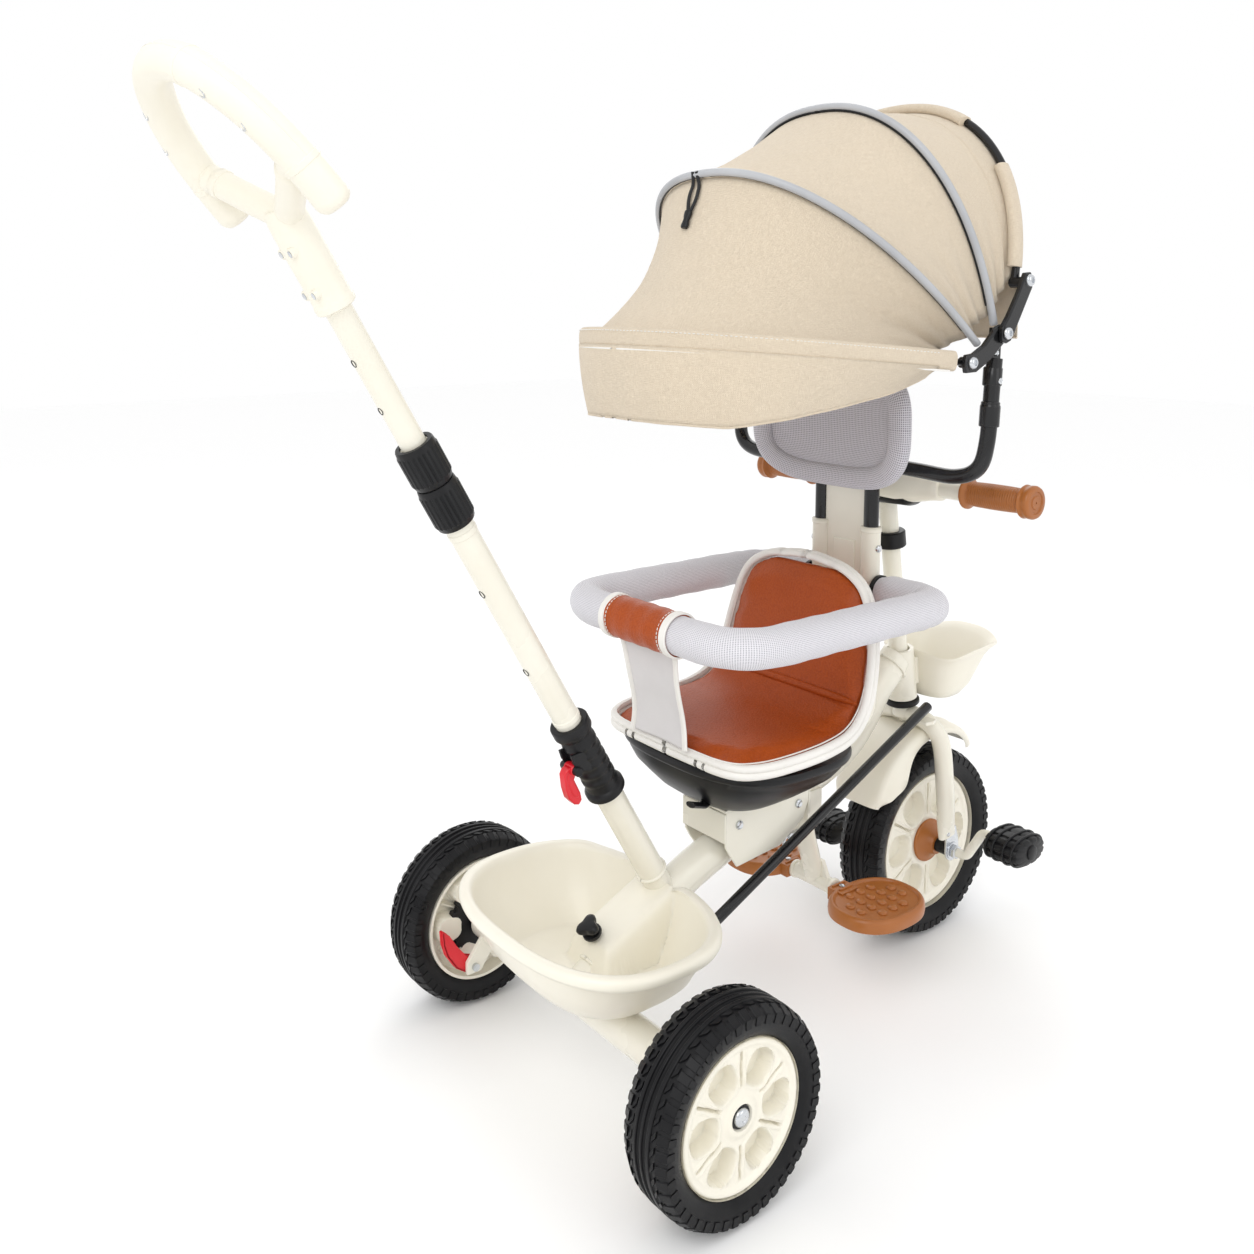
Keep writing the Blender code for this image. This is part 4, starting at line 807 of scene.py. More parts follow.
# Front wheel --------------------
# Same make as the rear ones but larger, with a brown stepped cone on both sides of its hub.
BROWN_PLASTIC = (plain_finish("brown_moulded_plastic", (0.335, 0.105, 0.018), (0.405, 0.135, 0.026), 0.36, 0.001,
                              0.00006), "brown_plastic")
FRONT_RIM = 0.09
tyre_parts("front", FRONT_AXLE, 0.1225, 0.0295, FRONT_RIM, "front_wheel", "front_tyre", 54)
right_face = rim_face(FRONT_AXLE, X, FRONT_RIM, 0.0165, 0.008)
left_face = [[FRONT_AXLE + Vector((-(p - FRONT_AXLE).x, (p - FRONT_AXLE).y, (p - FRONT_AXLE).z)) for p in points]
             for points in right_face]
edge_rings = [[FRONT_AXLE + X * along + Vector((0, (p - FRONT_AXLE).y, (p - FRONT_AXLE).z)) for p in right_face[-1]]
              for along in (0.0225, -0.0225)]
front_shell = skin(right_face + edge_rings + left_face[::-1], closed=True)
piece("front_rim_moulding", front_shell, CREAM_PLASTIC, "front_wheel", "front_rim", sharp=60)
for name, side in SIDES:
    piece(f"front_hub_cone_{name}", turned([
        (0.0165, 0.0064), (0.0165, 0.0268), (0.0178, 0.028), (0.0196, 0.028), (0.0208, 0.027), (0.0214, 0.024),
        (0.0236, 0.0205), (0.0268, 0.0168), (0.0302, 0.0146), (0.0335, 0.0134), (0.0345, 0.0126), (0.0345, 0.0064)],
        FRONT_AXLE, X * side, 64, closed=True), BROWN_PLASTIC, "front_wheel", f"hub_cone_{name}")


# Pedal crank and pedals --------------------
# One forged and powder coated S-bent rod is both axle and crank; ribbed black pedals spin on it.
CRANK_RADIUS = 0.0395
arm = [Vector((0.16, 0, CRANK_RADIUS)), Vector((0.098, 0, CRANK_RADIUS)), Vector((0.076, 0, 0.0))]
crank_line = bent(arm + [-point for point in reversed(arm)], 0.012, 8)
piece("pedal_crank", bar([FRONT_AXLE + p for p in crank_line], 0.0057, 24, side=Y), CREAM_PAINT, "front_wheel",
      "front_crank")
for name, side in SIDES:
    spindle = FRONT_AXLE + Z * side * CRANK_RADIUS
    out = X * side
    rings = []
    PEDAL_SIDES = 96
    for x, half_y, half_z, tooth in ((0.115, 0.01, 0.009, 0), (0.116, 0.0235, 0.0135, 0), (0.118, 0.03, 0.016, 1),
                                     (0.1235, 0.0326, 0.0174, 1), (0.131, 0.0338, 0.0182, 1), (0.14, 0.0342, 0.0186, 1),
                                     (0.149, 0.0338, 0.0182, 1), (0.1565, 0.0326, 0.0174, 1), (0.162, 0.03, 0.016, 1),
                                     (0.1638, 0.0235, 0.0135, 0), (0.1645, 0.01, 0.009, 0)):
        points = ring(spindle + out * x, X, half_y, half_z, PEDAL_SIDES, 2.3, side=Y)
        centre = spindle + out * x
        rings.append([centre + (p - centre) * (1 - 0.075 * tooth * (i % 8 in (0, 1)))
                      for i, p in enumerate(points)])
    body_part = skin(rings)
    cage = [bar([spindle + out * x + (p - spindle - out * x) * 1.02 for p in
                 ring(spindle + out * x, X, half_y, half_z, 48, 2.3, side=Y)], 0.0015, 8, closed=True)
            for x, half_y, half_z in ((0.123, 0.0326, 0.0174), (0.133, 0.0339, 0.0183), (0.147, 0.0339, 0.0183),
                                      (0.157, 0.0326, 0.0174))]
    cap = turned([(0.1645, 0.0095), (0.1662, 0.009), (0.167, 0.007)], spindle, out, 32)
    piece(f"pedal_block_{name}", together(body_part, *cage, cap), BLACK_PLASTIC, f"pedal_{name}", f"pedal_{name}",
          edge=0.0004)


# Handlebar --------------------
# A straight cream bar through a moulded cover with a black underside, a black clamp on the stem, and
# caramel brown ribbed grips with flanges and ringed end caps.
HANDLEBAR = Vector((0, 0.4785, 0.603))
GRIP_START, GRIP_END = 0.114, 0.2015
piece("handlebar_tube", turned([(-0.196, 0.0105), (0.196, 0.0105)], HANDLEBAR, X, 40), CREAM_PAINT, "steering",
      "handlebar")
piece("stem_clamp_ring", turned([(0, 0.012), (0, 0.0175), (0.0015, 0.019), (0.019, 0.019), (0.0205, 0.0175),
                                 (0.0205, 0.012)], on_stem(0.52), STEER_AXIS, 40, closed=True), BLACK_PLASTIC,
      "steering", "stem_clamp")
cover_rings, sole_rings = [], []
for x, half_y, half_z in ((-0.082, 0.0125, 0.0125), (-0.081, 0.0138, 0.0138), (-0.072, 0.0145, 0.0145),
                          (-0.058, 0.0185, 0.0175), (-0.044, 0.0235, 0.0205), (-0.028, 0.0268, 0.0222),
                          (0.0, 0.0275, 0.0226), (0.028, 0.0268, 0.0222), (0.044, 0.0235, 0.0205),
                          (0.058, 0.0185, 0.0175), (0.072, 0.0145, 0.0145), (0.081, 0.0138, 0.0138),
                          (0.082, 0.0125, 0.0125)):
    cover_rings.append(ring(HANDLEBAR + X * x, X, half_y, half_z, 48, 2.4, side=Y))
for x, half_y, half_z in ((-0.046, 0.012, 0.006), (-0.04, 0.019, 0.01), (0.0, 0.0225, 0.011),
                          (0.04, 0.019, 0.01), (0.046, 0.012, 0.006)):
    sole_rings.append(ring(HANDLEBAR + X * x - Z * 0.015, X, half_y, half_z, 40, 2.6, side=Y))
piece("handlebar_cover_shell", skin(cover_rings), CREAM_PLASTIC, "steering", "handlebar_cover", sharp=50)
piece("handlebar_cover_sole", skin(sole_rings), BLACK_PLASTIC, "steering", sharp=50)
for name, side in SIDES:
    profile = [(GRIP_START, 0.0109), (GRIP_START, 0.017), (GRIP_START + 0.0012, 0.0184), (GRIP_START + 0.0034, 0.0184),
               (GRIP_START + 0.0046, 0.017), (GRIP_START + 0.006, 0.0144)]
    RIBS = 22
    for rib in range(RIBS):
        at = GRIP_START + 0.0085 + (GRIP_END - GRIP_START - 0.027) * rib / (RIBS - 1)
        swell = 0.0142 + 0.0006 * math.sin(math.pi * rib / (RIBS - 1))
        profile += [(at - 0.0008, swell - 0.0005), (at - 0.0003, swell), (at + 0.0006, swell),
                    (at + 0.0011, swell - 0.0005)]
    profile += [(GRIP_END - 0.016, 0.0146), (GRIP_END - 0.0142, 0.0182), (GRIP_END - 0.0128, 0.0192),
                (GRIP_END - 0.0105, 0.0186), (GRIP_END - 0.009, 0.018), (GRIP_END - 0.007, 0.0188),
                (GRIP_END - 0.003, 0.019), (GRIP_END - 0.0006, 0.0178), (GRIP_END, 0.016), (GRIP_END, 0.0128),
                (GRIP_END - 0.0012, 0.012), (GRIP_END - 0.0012, 0.0078), (GRIP_END - 0.0002, 0.007),
                (GRIP_END - 0.0002, 0.001), (0.1968, 0.001), (0.1968, 0.0109)]
    piece(f"grip_sleeve_{name}", turned(profile, HANDLEBAR, X * side, 56, closed=True), BROWN_PLASTIC, "steering",
          f"grip_{name}", sharp=50)


# Front basket --------------------
# Small moulded tub hooked on the head tube, with a thin wavy lip that rises towards the front.
def cup_ring(z, half_x, y_back, y_front, rise, wave=0.0):
    """Ring round the small tub at a height, rising towards its front by `rise` in four waves."""
    points = tub_ring(z, half_x, y_back, y_front, 3.0, 144)
    for i, point in enumerate(points):
        angle = 2 * math.pi * i / len(points)
        point.z += rise * ((point.y - y_back) / (y_front - y_back)) ** 2
        point.z -= wave * (0.5 - 0.5 * math.cos(4 * angle)) * 0.9
    return points


cup_rings = [cup_ring(*values) for values in (
    (0.318, 0.02, 0.56, 0.59, 0.004), (0.318, 0.034, 0.55, 0.599, 0.004), (0.32, 0.0405, 0.5445, 0.606, 0.004),
    (0.33, 0.0455, 0.5405, 0.62, 0.004), (0.35, 0.0505, 0.537, 0.633, 0.004, 0.001),
    (0.366, 0.0545, 0.535, 0.643, 0.005, 0.003), (0.3735, 0.0575, 0.5345, 0.65, 0.007, 0.006),
    (0.3775, 0.061, 0.5338, 0.659, 0.009, 0.007), (0.3795, 0.0622, 0.5335, 0.664, 0.01, 0.007),
    (0.3812, 0.0618, 0.5338, 0.6635, 0.011, 0.007), (0.3805, 0.059, 0.536, 0.657, 0.01, 0.007),
    (0.3765, 0.0555, 0.5368, 0.6485, 0.008, 0.006), (0.366, 0.052, 0.5375, 0.641, 0.005, 0.003),
    (0.35, 0.0482, 0.5395, 0.63, 0.004, 0.001), (0.332, 0.044, 0.542, 0.619, 0.004),
    (0.322, 0.0385, 0.547, 0.603, 0.004), (0.3205, 0.033, 0.551, 0.597, 0.004), (0.3205, 0.015, 0.565, 0.585, 0.004))]
piece("front_basket_tub", skin(cup_rings), CREAM_PLASTIC, "frame", "front_basket", sharp=60)
piece("front_basket_hook", plate([(-0.013, 0.336), (0.013, 0.336), (0.013, 0.372), (-0.013, 0.372)],
                                 Vector((0, 0.5355, 0)), X, Z, 0.01), CREAM_PLASTIC, "frame", edge=0.002)


# Steering rod --------------------
# Gloss black rod from the push bar's crank to the fork arm, with a rounded end.
BLACK_PAINT = (plain_finish("black_powder_coat", (0.008, 0.008, 0.009), (0.013, 0.013, 0.014), 0.2, 0.0012, 0.00003,
                            coat=0.2, shine=0.3), "black_paint")
ROD_START = on_bar(-0.0812) + X * 0.045 + BAR_AXIS * 0.0115
ROD_END = Vector((0.045, 0.516, 0.3212))
rod_way = (ROD_END - ROD_START).normalized()
rod_length = (ROD_END - ROD_START).length
piece("steering_link_rod", turned([(-0.0005, 0.003), (0.001, 0.0052), (0.003, 0.0061), (rod_length - 0.003, 0.0061),
                                   (rod_length - 0.001, 0.0052), (rod_length, 0.003)], ROD_START, rod_way, 32),
      BLACK_PAINT, "steering_rod", "steering_rod")


# Foot rest --------------------
# A flat oval cream post hangs from the beam with a gusset, held by a bright ring pin. Its cross bar
# carries two folding caramel pads with a raised border, rows of studs and a square hinge tab.
BAR_Y, BAR_Z = 0.362, 0.122
post_line = curve_through([Vector((0, 0.334, 0.222)), Vector((0, 0.34, 0.19)), Vector((0, 0.352, 0.156)),
                           Vector((0, BAR_Y, BAR_Z))], 8)
post_sizes = [0.0165 - 0.0035 * ramp(i / len(post_line), 0, 1) for i in range(len(post_line))]
gusset = plate([(-0.0285, -0.006), (-0.015, -0.008), (0.015, -0.008), (0.0285, -0.006), (0.014, 0.024),
                (-0.014, 0.024)], Vector((0, BAR_Y - 0.001, BAR_Z + 0.004)), X, Z, 0.006)
cross_collars = [turned([(0.027, 0.0098), (0.0274, 0.0112), (0.0312, 0.0112), (0.0318, 0.0098)],
                        Vector((0, BAR_Y, BAR_Z)), X * side, 32) for _, side in SIDES]
piece("footrest_post_tube", together(
    bar(post_line, post_sizes, 32, half_b=0.01), turned([(-0.03, 0.0095), (0.03, 0.0095)],
                                                         Vector((0, BAR_Y, BAR_Z)), X, 32),
    gusset, *cross_collars), CREAM_PAINT, "footrest_post", "footrest_post", edge=0.0008)
pull_ring = ring(Vector((0, 0.316, 0.179)), X, 0.0105, 0.0105, 40, side=Y)
piece("footrest_ring_pin", together(
    turned([(-0.0165, 0.002), (-0.015, 0.003), (0.009, 0.003), (0.009, 0.0048), (0.012, 0.0048),
            (0.0132, 0.0038)], Vector((0, 0.325, 0.19)), -Y, 24),
    bar(pull_ring, 0.0014, 10, side=X, closed=True)), STEEL, "footrest_pin", "footrest_pin")
for name, side in SIDES:
    middle = Vector((side * 0.085, BAR_Y + 0.01, BAR_Z - 0.002))
    pad_rings = []
    for z, grow in ((-0.0085, -0.01), (-0.0085, -0.004), (-0.0065, -0.0008), (-0.001, 0.0), (0.005, -0.0006),
                    (0.0082, -0.0026), (0.009, -0.0046), (0.0088, -0.0066), (0.0064, -0.0082), (0.0062, -0.016),
                    (0.0062, -0.03)):
        points = ring(middle + Z * z, Z, 0.0465 + grow, 0.061 + grow, 96, 2.5)
        for point in points:
            point.x = middle.x + (point.x - middle.x) * (1 - 0.9 * (abs(point.y - middle.y) / 0.061) ** 3 * 0.12)
        pad_rings.append(points)
    studs = []
    for row in range(5):
        for column in range(4):
            spot = middle + Vector(((column - 1.5) * 0.0155, (row - 2) * 0.0185, 0.006))
            if math.hypot((column - 1.5) / 1.9, (row - 2) / 2.5) < 1.02:
                studs.append(turned([(0, 0.0058), (0.002, 0.0053), (0.003, 0.004), (0.0032, 0.001)], spot, Z, 16,
                                    side=X))
    tab = plate([(-0.01, -0.015), (0.012, -0.015), (0.012, 0.015), (-0.01, 0.015)],
                Vector((side * 0.043, BAR_Y, BAR_Z - 0.001)), X, Y, 0.015)
    slot_lips = [plate([(-0.0012, -0.011), (0.0012, -0.011), (0.0012, 0.011), (-0.0012, 0.011)],
                       Vector((side * at, BAR_Y, BAR_Z + 0.007)), X, Y, 0.003) for at in (0.037, 0.048)]
    piece(f"footrest_pad_{name}", together(skin(pad_rings), tab, *slot_lips, *studs), BROWN_PLASTIC,
          f"footrest_{name}", f"footrest_{name}", edge=0.0006)
    screw_at = Vector((side * 0.0425, BAR_Y, BAR_Z + 0.0062))
    piece(f"footrest_screw_{name}", turned([(0, 0.0036), (0.0018, 0.0034), (0.0026, 0.0022), (0.002, 0.0012)],
                                           screw_at, Z, 20, side=X), STEEL, f"footrest_{name}")


# Seat bracket and turntable --------------------
# Pressed cream saddle with flanged cheeks over the beam, a bright turntable disc, and screws.
cheek = [(-0.062, -0.02), (-0.05, -0.037), (0.02, -0.031), (0.058, -0.008), (0.066, 0.012), (0.066, 0.03),
         (-0.068, 0.03), (-0.068, -0.01)]
saddle_middle = Vector((0, 0.244, 0.235))
saddle_parts = [plate(cheek, saddle_middle + X * side * 0.0318, Y, Z, 0.003) for _, side in SIDES]
saddle_parts.append(plate([(-0.034, -0.07), (0.034, -0.07), (0.034, 0.069), (-0.034, 0.069)],
                          Vector((0, 0.244, 0.2665)), X, Y, 0.0036))
saddle_parts += [plate([(-0.034, -0.0015), (0.034, -0.0015), (0.034, 0.0015), (-0.034, 0.0015)],
                       Vector((0, 0.244 + y, 0.247)), X, Y, 0.034) for y in (-0.069, 0.067)]
piece("seat_saddle", together(*saddle_parts), CREAM_PAINT, "frame", "seat_bracket", edge=0.001)
piece("seat_saddle_screws", together(*(
    turned([(0, 0.0052), (0.002, 0.005), (0.0034, 0.0034), (0.0028, 0.0018)],
           saddle_middle + Vector((side * 0.0333, y, 0.012)), X * side, 24)
    for _, side in SIDES for y in (-0.048, 0.048))), STEEL, "frame")
piece("turntable_disc", turned([(-0.001, 0.035), (-0.0004, 0.036), (0.0029, 0.036), (0.0035, 0.035)],
                               Vector((0, 0.215, 0.27)), Z, 64, side=X), STEEL, "seat", "seat_turntable")


# Seat pan --------------------
# Black moulded bowl under the cushion with a rolled edge and a release lever below its front.
pan_rings = []
for z, half_x, half_y, forward in (
        (0.274, 0.04, 0.036, 0), (0.274, 0.056, 0.051, 0), (0.2765, 0.065, 0.06, 0), (0.285, 0.078, 0.072, 0),
        (0.296, 0.093, 0.084, 0.002), (0.308, 0.108, 0.096, 0.004), (0.318, 0.116, 0.101, 0.005),
        (0.325, 0.1195, 0.1035, 0.006), (0.3262, 0.1225, 0.106, 0.006), (0.329, 0.1238, 0.1072, 0.006),
        (0.333, 0.1238, 0.1072, 0.006), (0.3356, 0.1225, 0.106, 0.006), (0.336, 0.11, 0.094, 0.006)):
    pan_rings.append(ring(Vector((0, 0.215 + forward, z)), Z, half_x, half_y, 96, 2.8))
piece("seat_pan", skin(pan_rings), BLACK_PLASTIC, "seat", "seat_shell", sharp=50)
release = bent([Vector((0.02, 0.175, 0.285)), Vector((0.034, 0.14, 0.284)), Vector((0.038, 0.118, 0.292))], 0.01)
piece("seat_release_lever", bar(release, 0.006, 24, half_b=0.0032), BLACK_PAINT, "seat")


# Seat cushion --------------------
# One stitched pad in orange brown leatherette that turns up from seat to back, 21 mm thick, with an
# off-white piping round its edge and a raised welt across the fold. Foam swells it between seams.
def leather_finish():
    """Leatherette: fine pebble grain, faint creases, and painted shade that colours the grain's valleys slightly
    darker.
    """
    finish, tree, shader = new_finish("orange_brown_leatherette", 0.46, shine=0.28)
    place = tree.nodes.new("ShaderNodeTexCoord").outputs["Object"]
    pebbles = tree.nodes.new("ShaderNodeTexVoronoi")
    pebbles.feature = "SMOOTH_F1"
    pebbles.inputs["Scale"].default_value = 520
    tree.links.new(place, pebbles.inputs["Vector"])
    creases = noise_node(tree, place, 60, 4)
    broad_tone = spread(tree, noise_node(tree, place, 7, 3), 0.3, 0.7, 0, 1)
    valley = spread(tree, pebbles.outputs["Distance"], 0.1, 0.7, 1, 0)
    # Colour follows the pebbles: tops lighter and valleys darker as painted shade, mixed with a broad random tone.
    share = math_node(tree, "MULTIPLY", valley, 0.55)
    share = math_node(tree, "ADD", share, math_node(tree, "MULTIPLY", broad_tone, 0.45))
    tree.links.new(colour_between(tree, share, (0.3, 0.046, 0.004), (0.42, 0.074, 0.007)),
                   shader.inputs["Base Color"])
    tree.links.new(spread(tree, share, 0, 1, 0.5, 0.36), shader.inputs["Roughness"])
    height = math_node(tree, "ADD", valley, math_node(tree, "MULTIPLY", creases, 1.5))
    raise_by(tree, shader, height, 0.00022)
    return finish


LEATHER = (leather_finish(), "leatherette")
PIPING = (plain_finish("off_white_piping_vinyl", (0.76, 0.74, 0.7), (0.84, 0.82, 0.78), 0.42, 0.0008, 0.00008),
          "piping")
PAD_LINE = [(0.1165, 0.348, 0.066), (0.119, 0.348, 0.086), (0.128, 0.348, 0.104), (0.147, 0.349, 0.116),
            (0.175, 0.35, 0.122), (0.225, 0.352, 0.124),
            (0.27, 0.358, 0.122), (0.302, 0.378, 0.117), (0.318, 0.415, 0.113), (0.326, 0.455, 0.107),
            (0.331, 0.49, 0.096), (0.334, 0.512, 0.078), (0.335, 0.524, 0.05)]
pad_path = curve_through([Vector((0, y, z)) for y, z, _ in PAD_LINE], 6)
pad_halves = [point.x for point in curve_through([Vector((half, 0, 0)) for _, _, half in PAD_LINE], 6)]
pad_ways = ways_along(pad_path)


def swollen(bm, voxel, pressure, most):
    """The closed shape remeshed and blown up from inside, each point kept within `most` of its start."""
    mesh = bpy.data.meshes.new("pad")
    bm.to_mesh(mesh)
    bm.free()
    pad = bpy.data.objects.new("pad", mesh)
    bpy.context.scene.collection.objects.link(pad)
    remesh = pad.modifiers.new("remesh", "REMESH")
    remesh.mode = "VOXEL"
    remesh.voxel_size = voxel
    bpy.context.view_layer.update()
    even = bpy.data.meshes.new_from_object(pad.evaluated_get(bpy.context.evaluated_depsgraph_get()))
    pad.modifiers.clear()
    pad.data = even
    cloth = pad.modifiers.new("cloth", "CLOTH")
    cloth.settings.use_pressure = True
    cloth.settings.uniform_pressure_force = pressure
    cloth.settings.effector_weights.gravity = 0
    scene = bpy.context.scene
    for moment in range(1, 21):
        scene.frame_set(moment)
    blown = bpy.data.meshes.new_from_object(pad.evaluated_get(bpy.context.evaluated_depsgraph_get()))
    for vertex, moved in zip(even.vertices, blown.vertices):
        shift = moved.co - vertex.co
        if shift.length > most:
            shift *= most / shift.length
        vertex.co += shift
    pad.modifiers.clear()
    scene.frame_set(1)
    whole = bmesh.new()
    whole.from_mesh(even)
    bmesh.ops.smooth_vert(whole, verts=whole.verts, factor=0.5, use_axis_x=True, use_axis_y=True, use_axis_z=True)
    bpy.data.objects.remove(pad, do_unlink=True)
    return whole


pad_shape = skin([ring(point, way, half - 0.004, 0.0068, 64, 5.0) for point, way, half in
                  zip(pad_path, pad_ways, pad_halves)])
seat_pad = piece("seat_cushion_pad", swollen(pad_shape, 0.005, 4.0, 0.005), LEATHER, "seat", "seat_cushion",
                 smooth=1)

edge_right = [point + X * (half - 0.0015) + way.cross(X) * -0.002 for point, way, half in
              zip(pad_path, pad_ways, pad_halves)]
edge_left = [Vector((-p.x, p.y, p.z)) for p in reversed(edge_right)]
front_edge = [Vector((x, 0.1145 + 0.5 * x * x, 0.35)) for x in (-0.048, -0.024, 0.0, 0.024, 0.048)]
top_edge = [Vector((x, 0.335, 0.5285 - 0.0045 * (abs(x) / 0.04) ** 2)) for x in (0.036, 0.018, 0, -0.018, -0.036)]
piping_path = curve_through(front_edge + edge_right[::4] + top_edge + edge_left[::4], 4, closed=True)
piece("seat_piping", bar(piping_path, 0.0044, 12, closed=True), PIPING, "seat")
gusset_right = [point + X * (half - 0.0022) + way.cross(X) * 0.0055 for point, way, half in
                zip(pad_path, pad_ways, pad_halves)]
gusset_left = [Vector((-p.x, p.y, p.z)) for p in reversed(gusset_right)]
gusset_path = curve_through([p + Vector((0, 0.001, -0.0075)) for p in front_edge] + gusset_right[::4]
                            + [p + Y * 0.0075 for p in top_edge] + gusset_left[::4], 4, closed=True)
piece("seat_side_gusset", bar(gusset_path, 0.005, 12, closed=True), PIPING, "seat")
seam_path = [p + (p - Vector((0, p.y, p.z))).normalized() * -0.0045
             + Vector((0, -0.0006, 0.0044)) * (1 if p.z < 0.4 else 0.4) for p in piping_path]
piece("seat_piping_seam", bar(seam_path, 0.0008, 6, closed=True), PIPING, "seat")
welt = [Vector((x, 0.2952, 0.3868)) for x in [-0.11 + 0.22 * i / 24 for i in range(25)]]
welt_sizes = [0.0052 * (1 - (abs(i - 12) / 12) ** 8 * 0.7) for i in range(25)]
welt_pad = piece("seat_fold_welt", bar(welt, welt_sizes, 16), LEATHER, "seat")


# Backrest --------------------
# Two cream sleeves bent up from under the seat with an embossed plate between them, bright screws,
# and the black hoop's legs sliding into the sleeves.
BACK_Y, BACK_X = 0.405, 0.037
sleeves = []
for name, side in SIDES:
    line = bent([Vector((side * BACK_X, y, z)) for y, z in (
        (0.33, 0.324), (BACK_Y, 0.324), (BACK_Y, 0.56))], 0.03, 10)
    sleeves.append(bar(line, 0.0115, 36))
    sleeves.append(turned([(0, 0.0098), (0, 0.0122), (0.006, 0.0122), (0.0068, 0.0116)],
                          Vector((side * BACK_X, BACK_Y, 0.5535)), Z, 36, side=X))
back_outline = [(-0.03, 0.4), (0.03, 0.4), (0.03, 0.605), (-0.03, 0.605)]
emboss = [(-0.016, 0.425), (0.016, 0.425), (0.016, 0.54), (-0.016, 0.54)]
sleeves += [plate(back_outline, Vector((0, BACK_Y, 0)), X, Z, 0.006),
            plate(emboss, Vector((0, BACK_Y, 0)), X, Z, 0.009)]
piece("backrest_sleeves", together(*sleeves), CREAM_PAINT, "seat", "backrest_frame", edge=0.001)
piece("backrest_screws", together(*(
    turned([(0, 0.0046), (0.0018, 0.0044), (0.003, 0.0028), (0.0024, 0.0016)],
           Vector((side * (BACK_X + 0.0112), BACK_Y, z)), X * side, 24)
    for _, side in SIDES for z in (0.445, 0.535))), STEEL, "seat")


# Headrest --------------------
# Grey air mesh pad, 234 by 156 mm: a soft rolled border round a flat mesh middle, with a seam line.
def mesh_finish(name, dark, light, pitch, gap):
    """Knitted air mesh on the piece's own UVs: staggered round holes with raised threads between them, the holes
    painted dark as the shade inside them.
    """
    finish, tree, shader = new_finish(name, 0.85, sheen=0.3)
    cut = tree.nodes.new("ShaderNodeTexCoord").outputs["UV"]
    split = tree.nodes.new("ShaderNodeSeparateXYZ")
    tree.links.new(cut, split.inputs[0])
    waves = []
    for sign in (1, -1):
        lean = math_node(tree, "ADD", split.outputs["X"], math_node(tree, "MULTIPLY", split.outputs["Y"], sign))
        waves.append(math_node(tree, "SINE", math_node(tree, "MULTIPLY", lean, 2 * math.pi / pitch)))
    hole = math_node(tree, "MULTIPLY", waves[0], waves[1])
    hole = spread(tree, hole, gap, gap + 0.35, 0, 1)
    fuzz = noise_node(tree, cut, 900, 2)
    thread = math_node(tree, "ADD", math_node(tree, "SUBTRACT", 1.0, hole), math_node(tree, "MULTIPLY", fuzz, 0.4))
    # Threads take the light colour and the holes the dark one: painted shade in the holes.
    tone = spread(tree, thread, 0.0, 1.2, 0, 1)
    tree.links.new(colour_between(tree, tone, dark, light), shader.inputs["Base Color"])
    raise_by(tree, shader, thread, 0.0005)
    return finish


# Its darker colour is the painted shade in the mesh's holes.
AIR_MESH = (mesh_finish("grey_air_mesh", (0.16, 0.155, 0.18), (0.66, 0.64, 0.69), 0.0046, 0.1), "grey_mesh")
HEAD_MIDDLE = Vector((0, 0.384, 0.683))


def thickened(cloth, thickness, offset=-1.0):
    """Gives a cloth its thickness, inwards, or evenly to both sides with an offset of 0."""
    layer = cloth.modifiers.new("thickness", "SOLIDIFY")
    layer.thickness = thickness
    layer.offset = offset


HEAD_HALF, HEAD_BOW = 0.117, 0.022


def bowed(point):
    """Point moved back towards the rider at the sides by a shallow bow."""
    return point - Y * HEAD_BOW * (abs(point.x) / HEAD_HALF) ** 2


border_line = [bowed(p) for p in ring(HEAD_MIDDLE, Y, 0.1025, 0.0635, 96, 3.2)]
border_rings = []
for point, way in zip(border_line, ways_along(border_line, True)):
    border_rings.append(ring(point, way, 0.0095, 0.0135, 24, 2.3, side=Y))
head_border = piece("headrest_border", skin(border_rings, closed=True), AIR_MESH, "seat", "headrest")
middle_rows = []
for row in range(13):
    z = HEAD_MIDDLE.z - 0.06 + 0.12 * row / 12
    half = 0.101 * (1 - abs((z - HEAD_MIDDLE.z) / 0.0635) ** 3.2) ** (1 / 3.2)
    middle_rows.append([bowed(Vector((half * (-1 + column / 12), HEAD_MIDDLE.y - 0.0025 - 0.0015 * math.cos(
        math.pi * (column - 12) / 24), z))) for column in range(25)])
head_mesh = piece("headrest_mesh", skin(middle_rows, band=True), AIR_MESH, "seat", smooth=1)
thickened(head_mesh, 0.003)
head_seam = [bowed(p) - Y * 0.0052 for p in ring(HEAD_MIDDLE, Y, 0.0925, 0.0535, 96, 3.2)]
piece("headrest_seam", bar(head_seam, 0.0011, 6, closed=True), AIR_MESH, "seat")


# Guard rail --------------------
# Padded loop round the seat: foam 42 mm across under light grey mesh with sewn joints at its far
# corner, an orange brown sleeve stitched round its front, and a mesh panel down to the seat.
RAIL_Z, RAIL_HALF, RAIL_FRONT = 0.485, 0.136, 0.088
# Its darker colour is the painted shade in the mesh's holes.
LIGHT_MESH = (mesh_finish("light_grey_fine_mesh", (0.34, 0.33, 0.37), (0.78, 0.77, 0.81), 0.0036, 0.15), "grey_mesh")
rail_line = bent([Vector((x, y, RAIL_Z)) for x, y in (
    (0.0535, BACK_Y), (RAIL_HALF, BACK_Y), (RAIL_HALF, RAIL_FRONT), (-RAIL_HALF, RAIL_FRONT), (-RAIL_HALF, BACK_Y),
    (-0.0535, BACK_Y))], (0.036, 0.062, 0.062, 0.036), 14)
rail_points = []
for near, far in zip(rail_line, rail_line[1:]):
    steps = max(1, round((far - near).length / 0.006))
    rail_points += [near.lerp(far, step / steps) for step in range(steps)]
rail_points.append(rail_line[-1])
rail_sizes = []
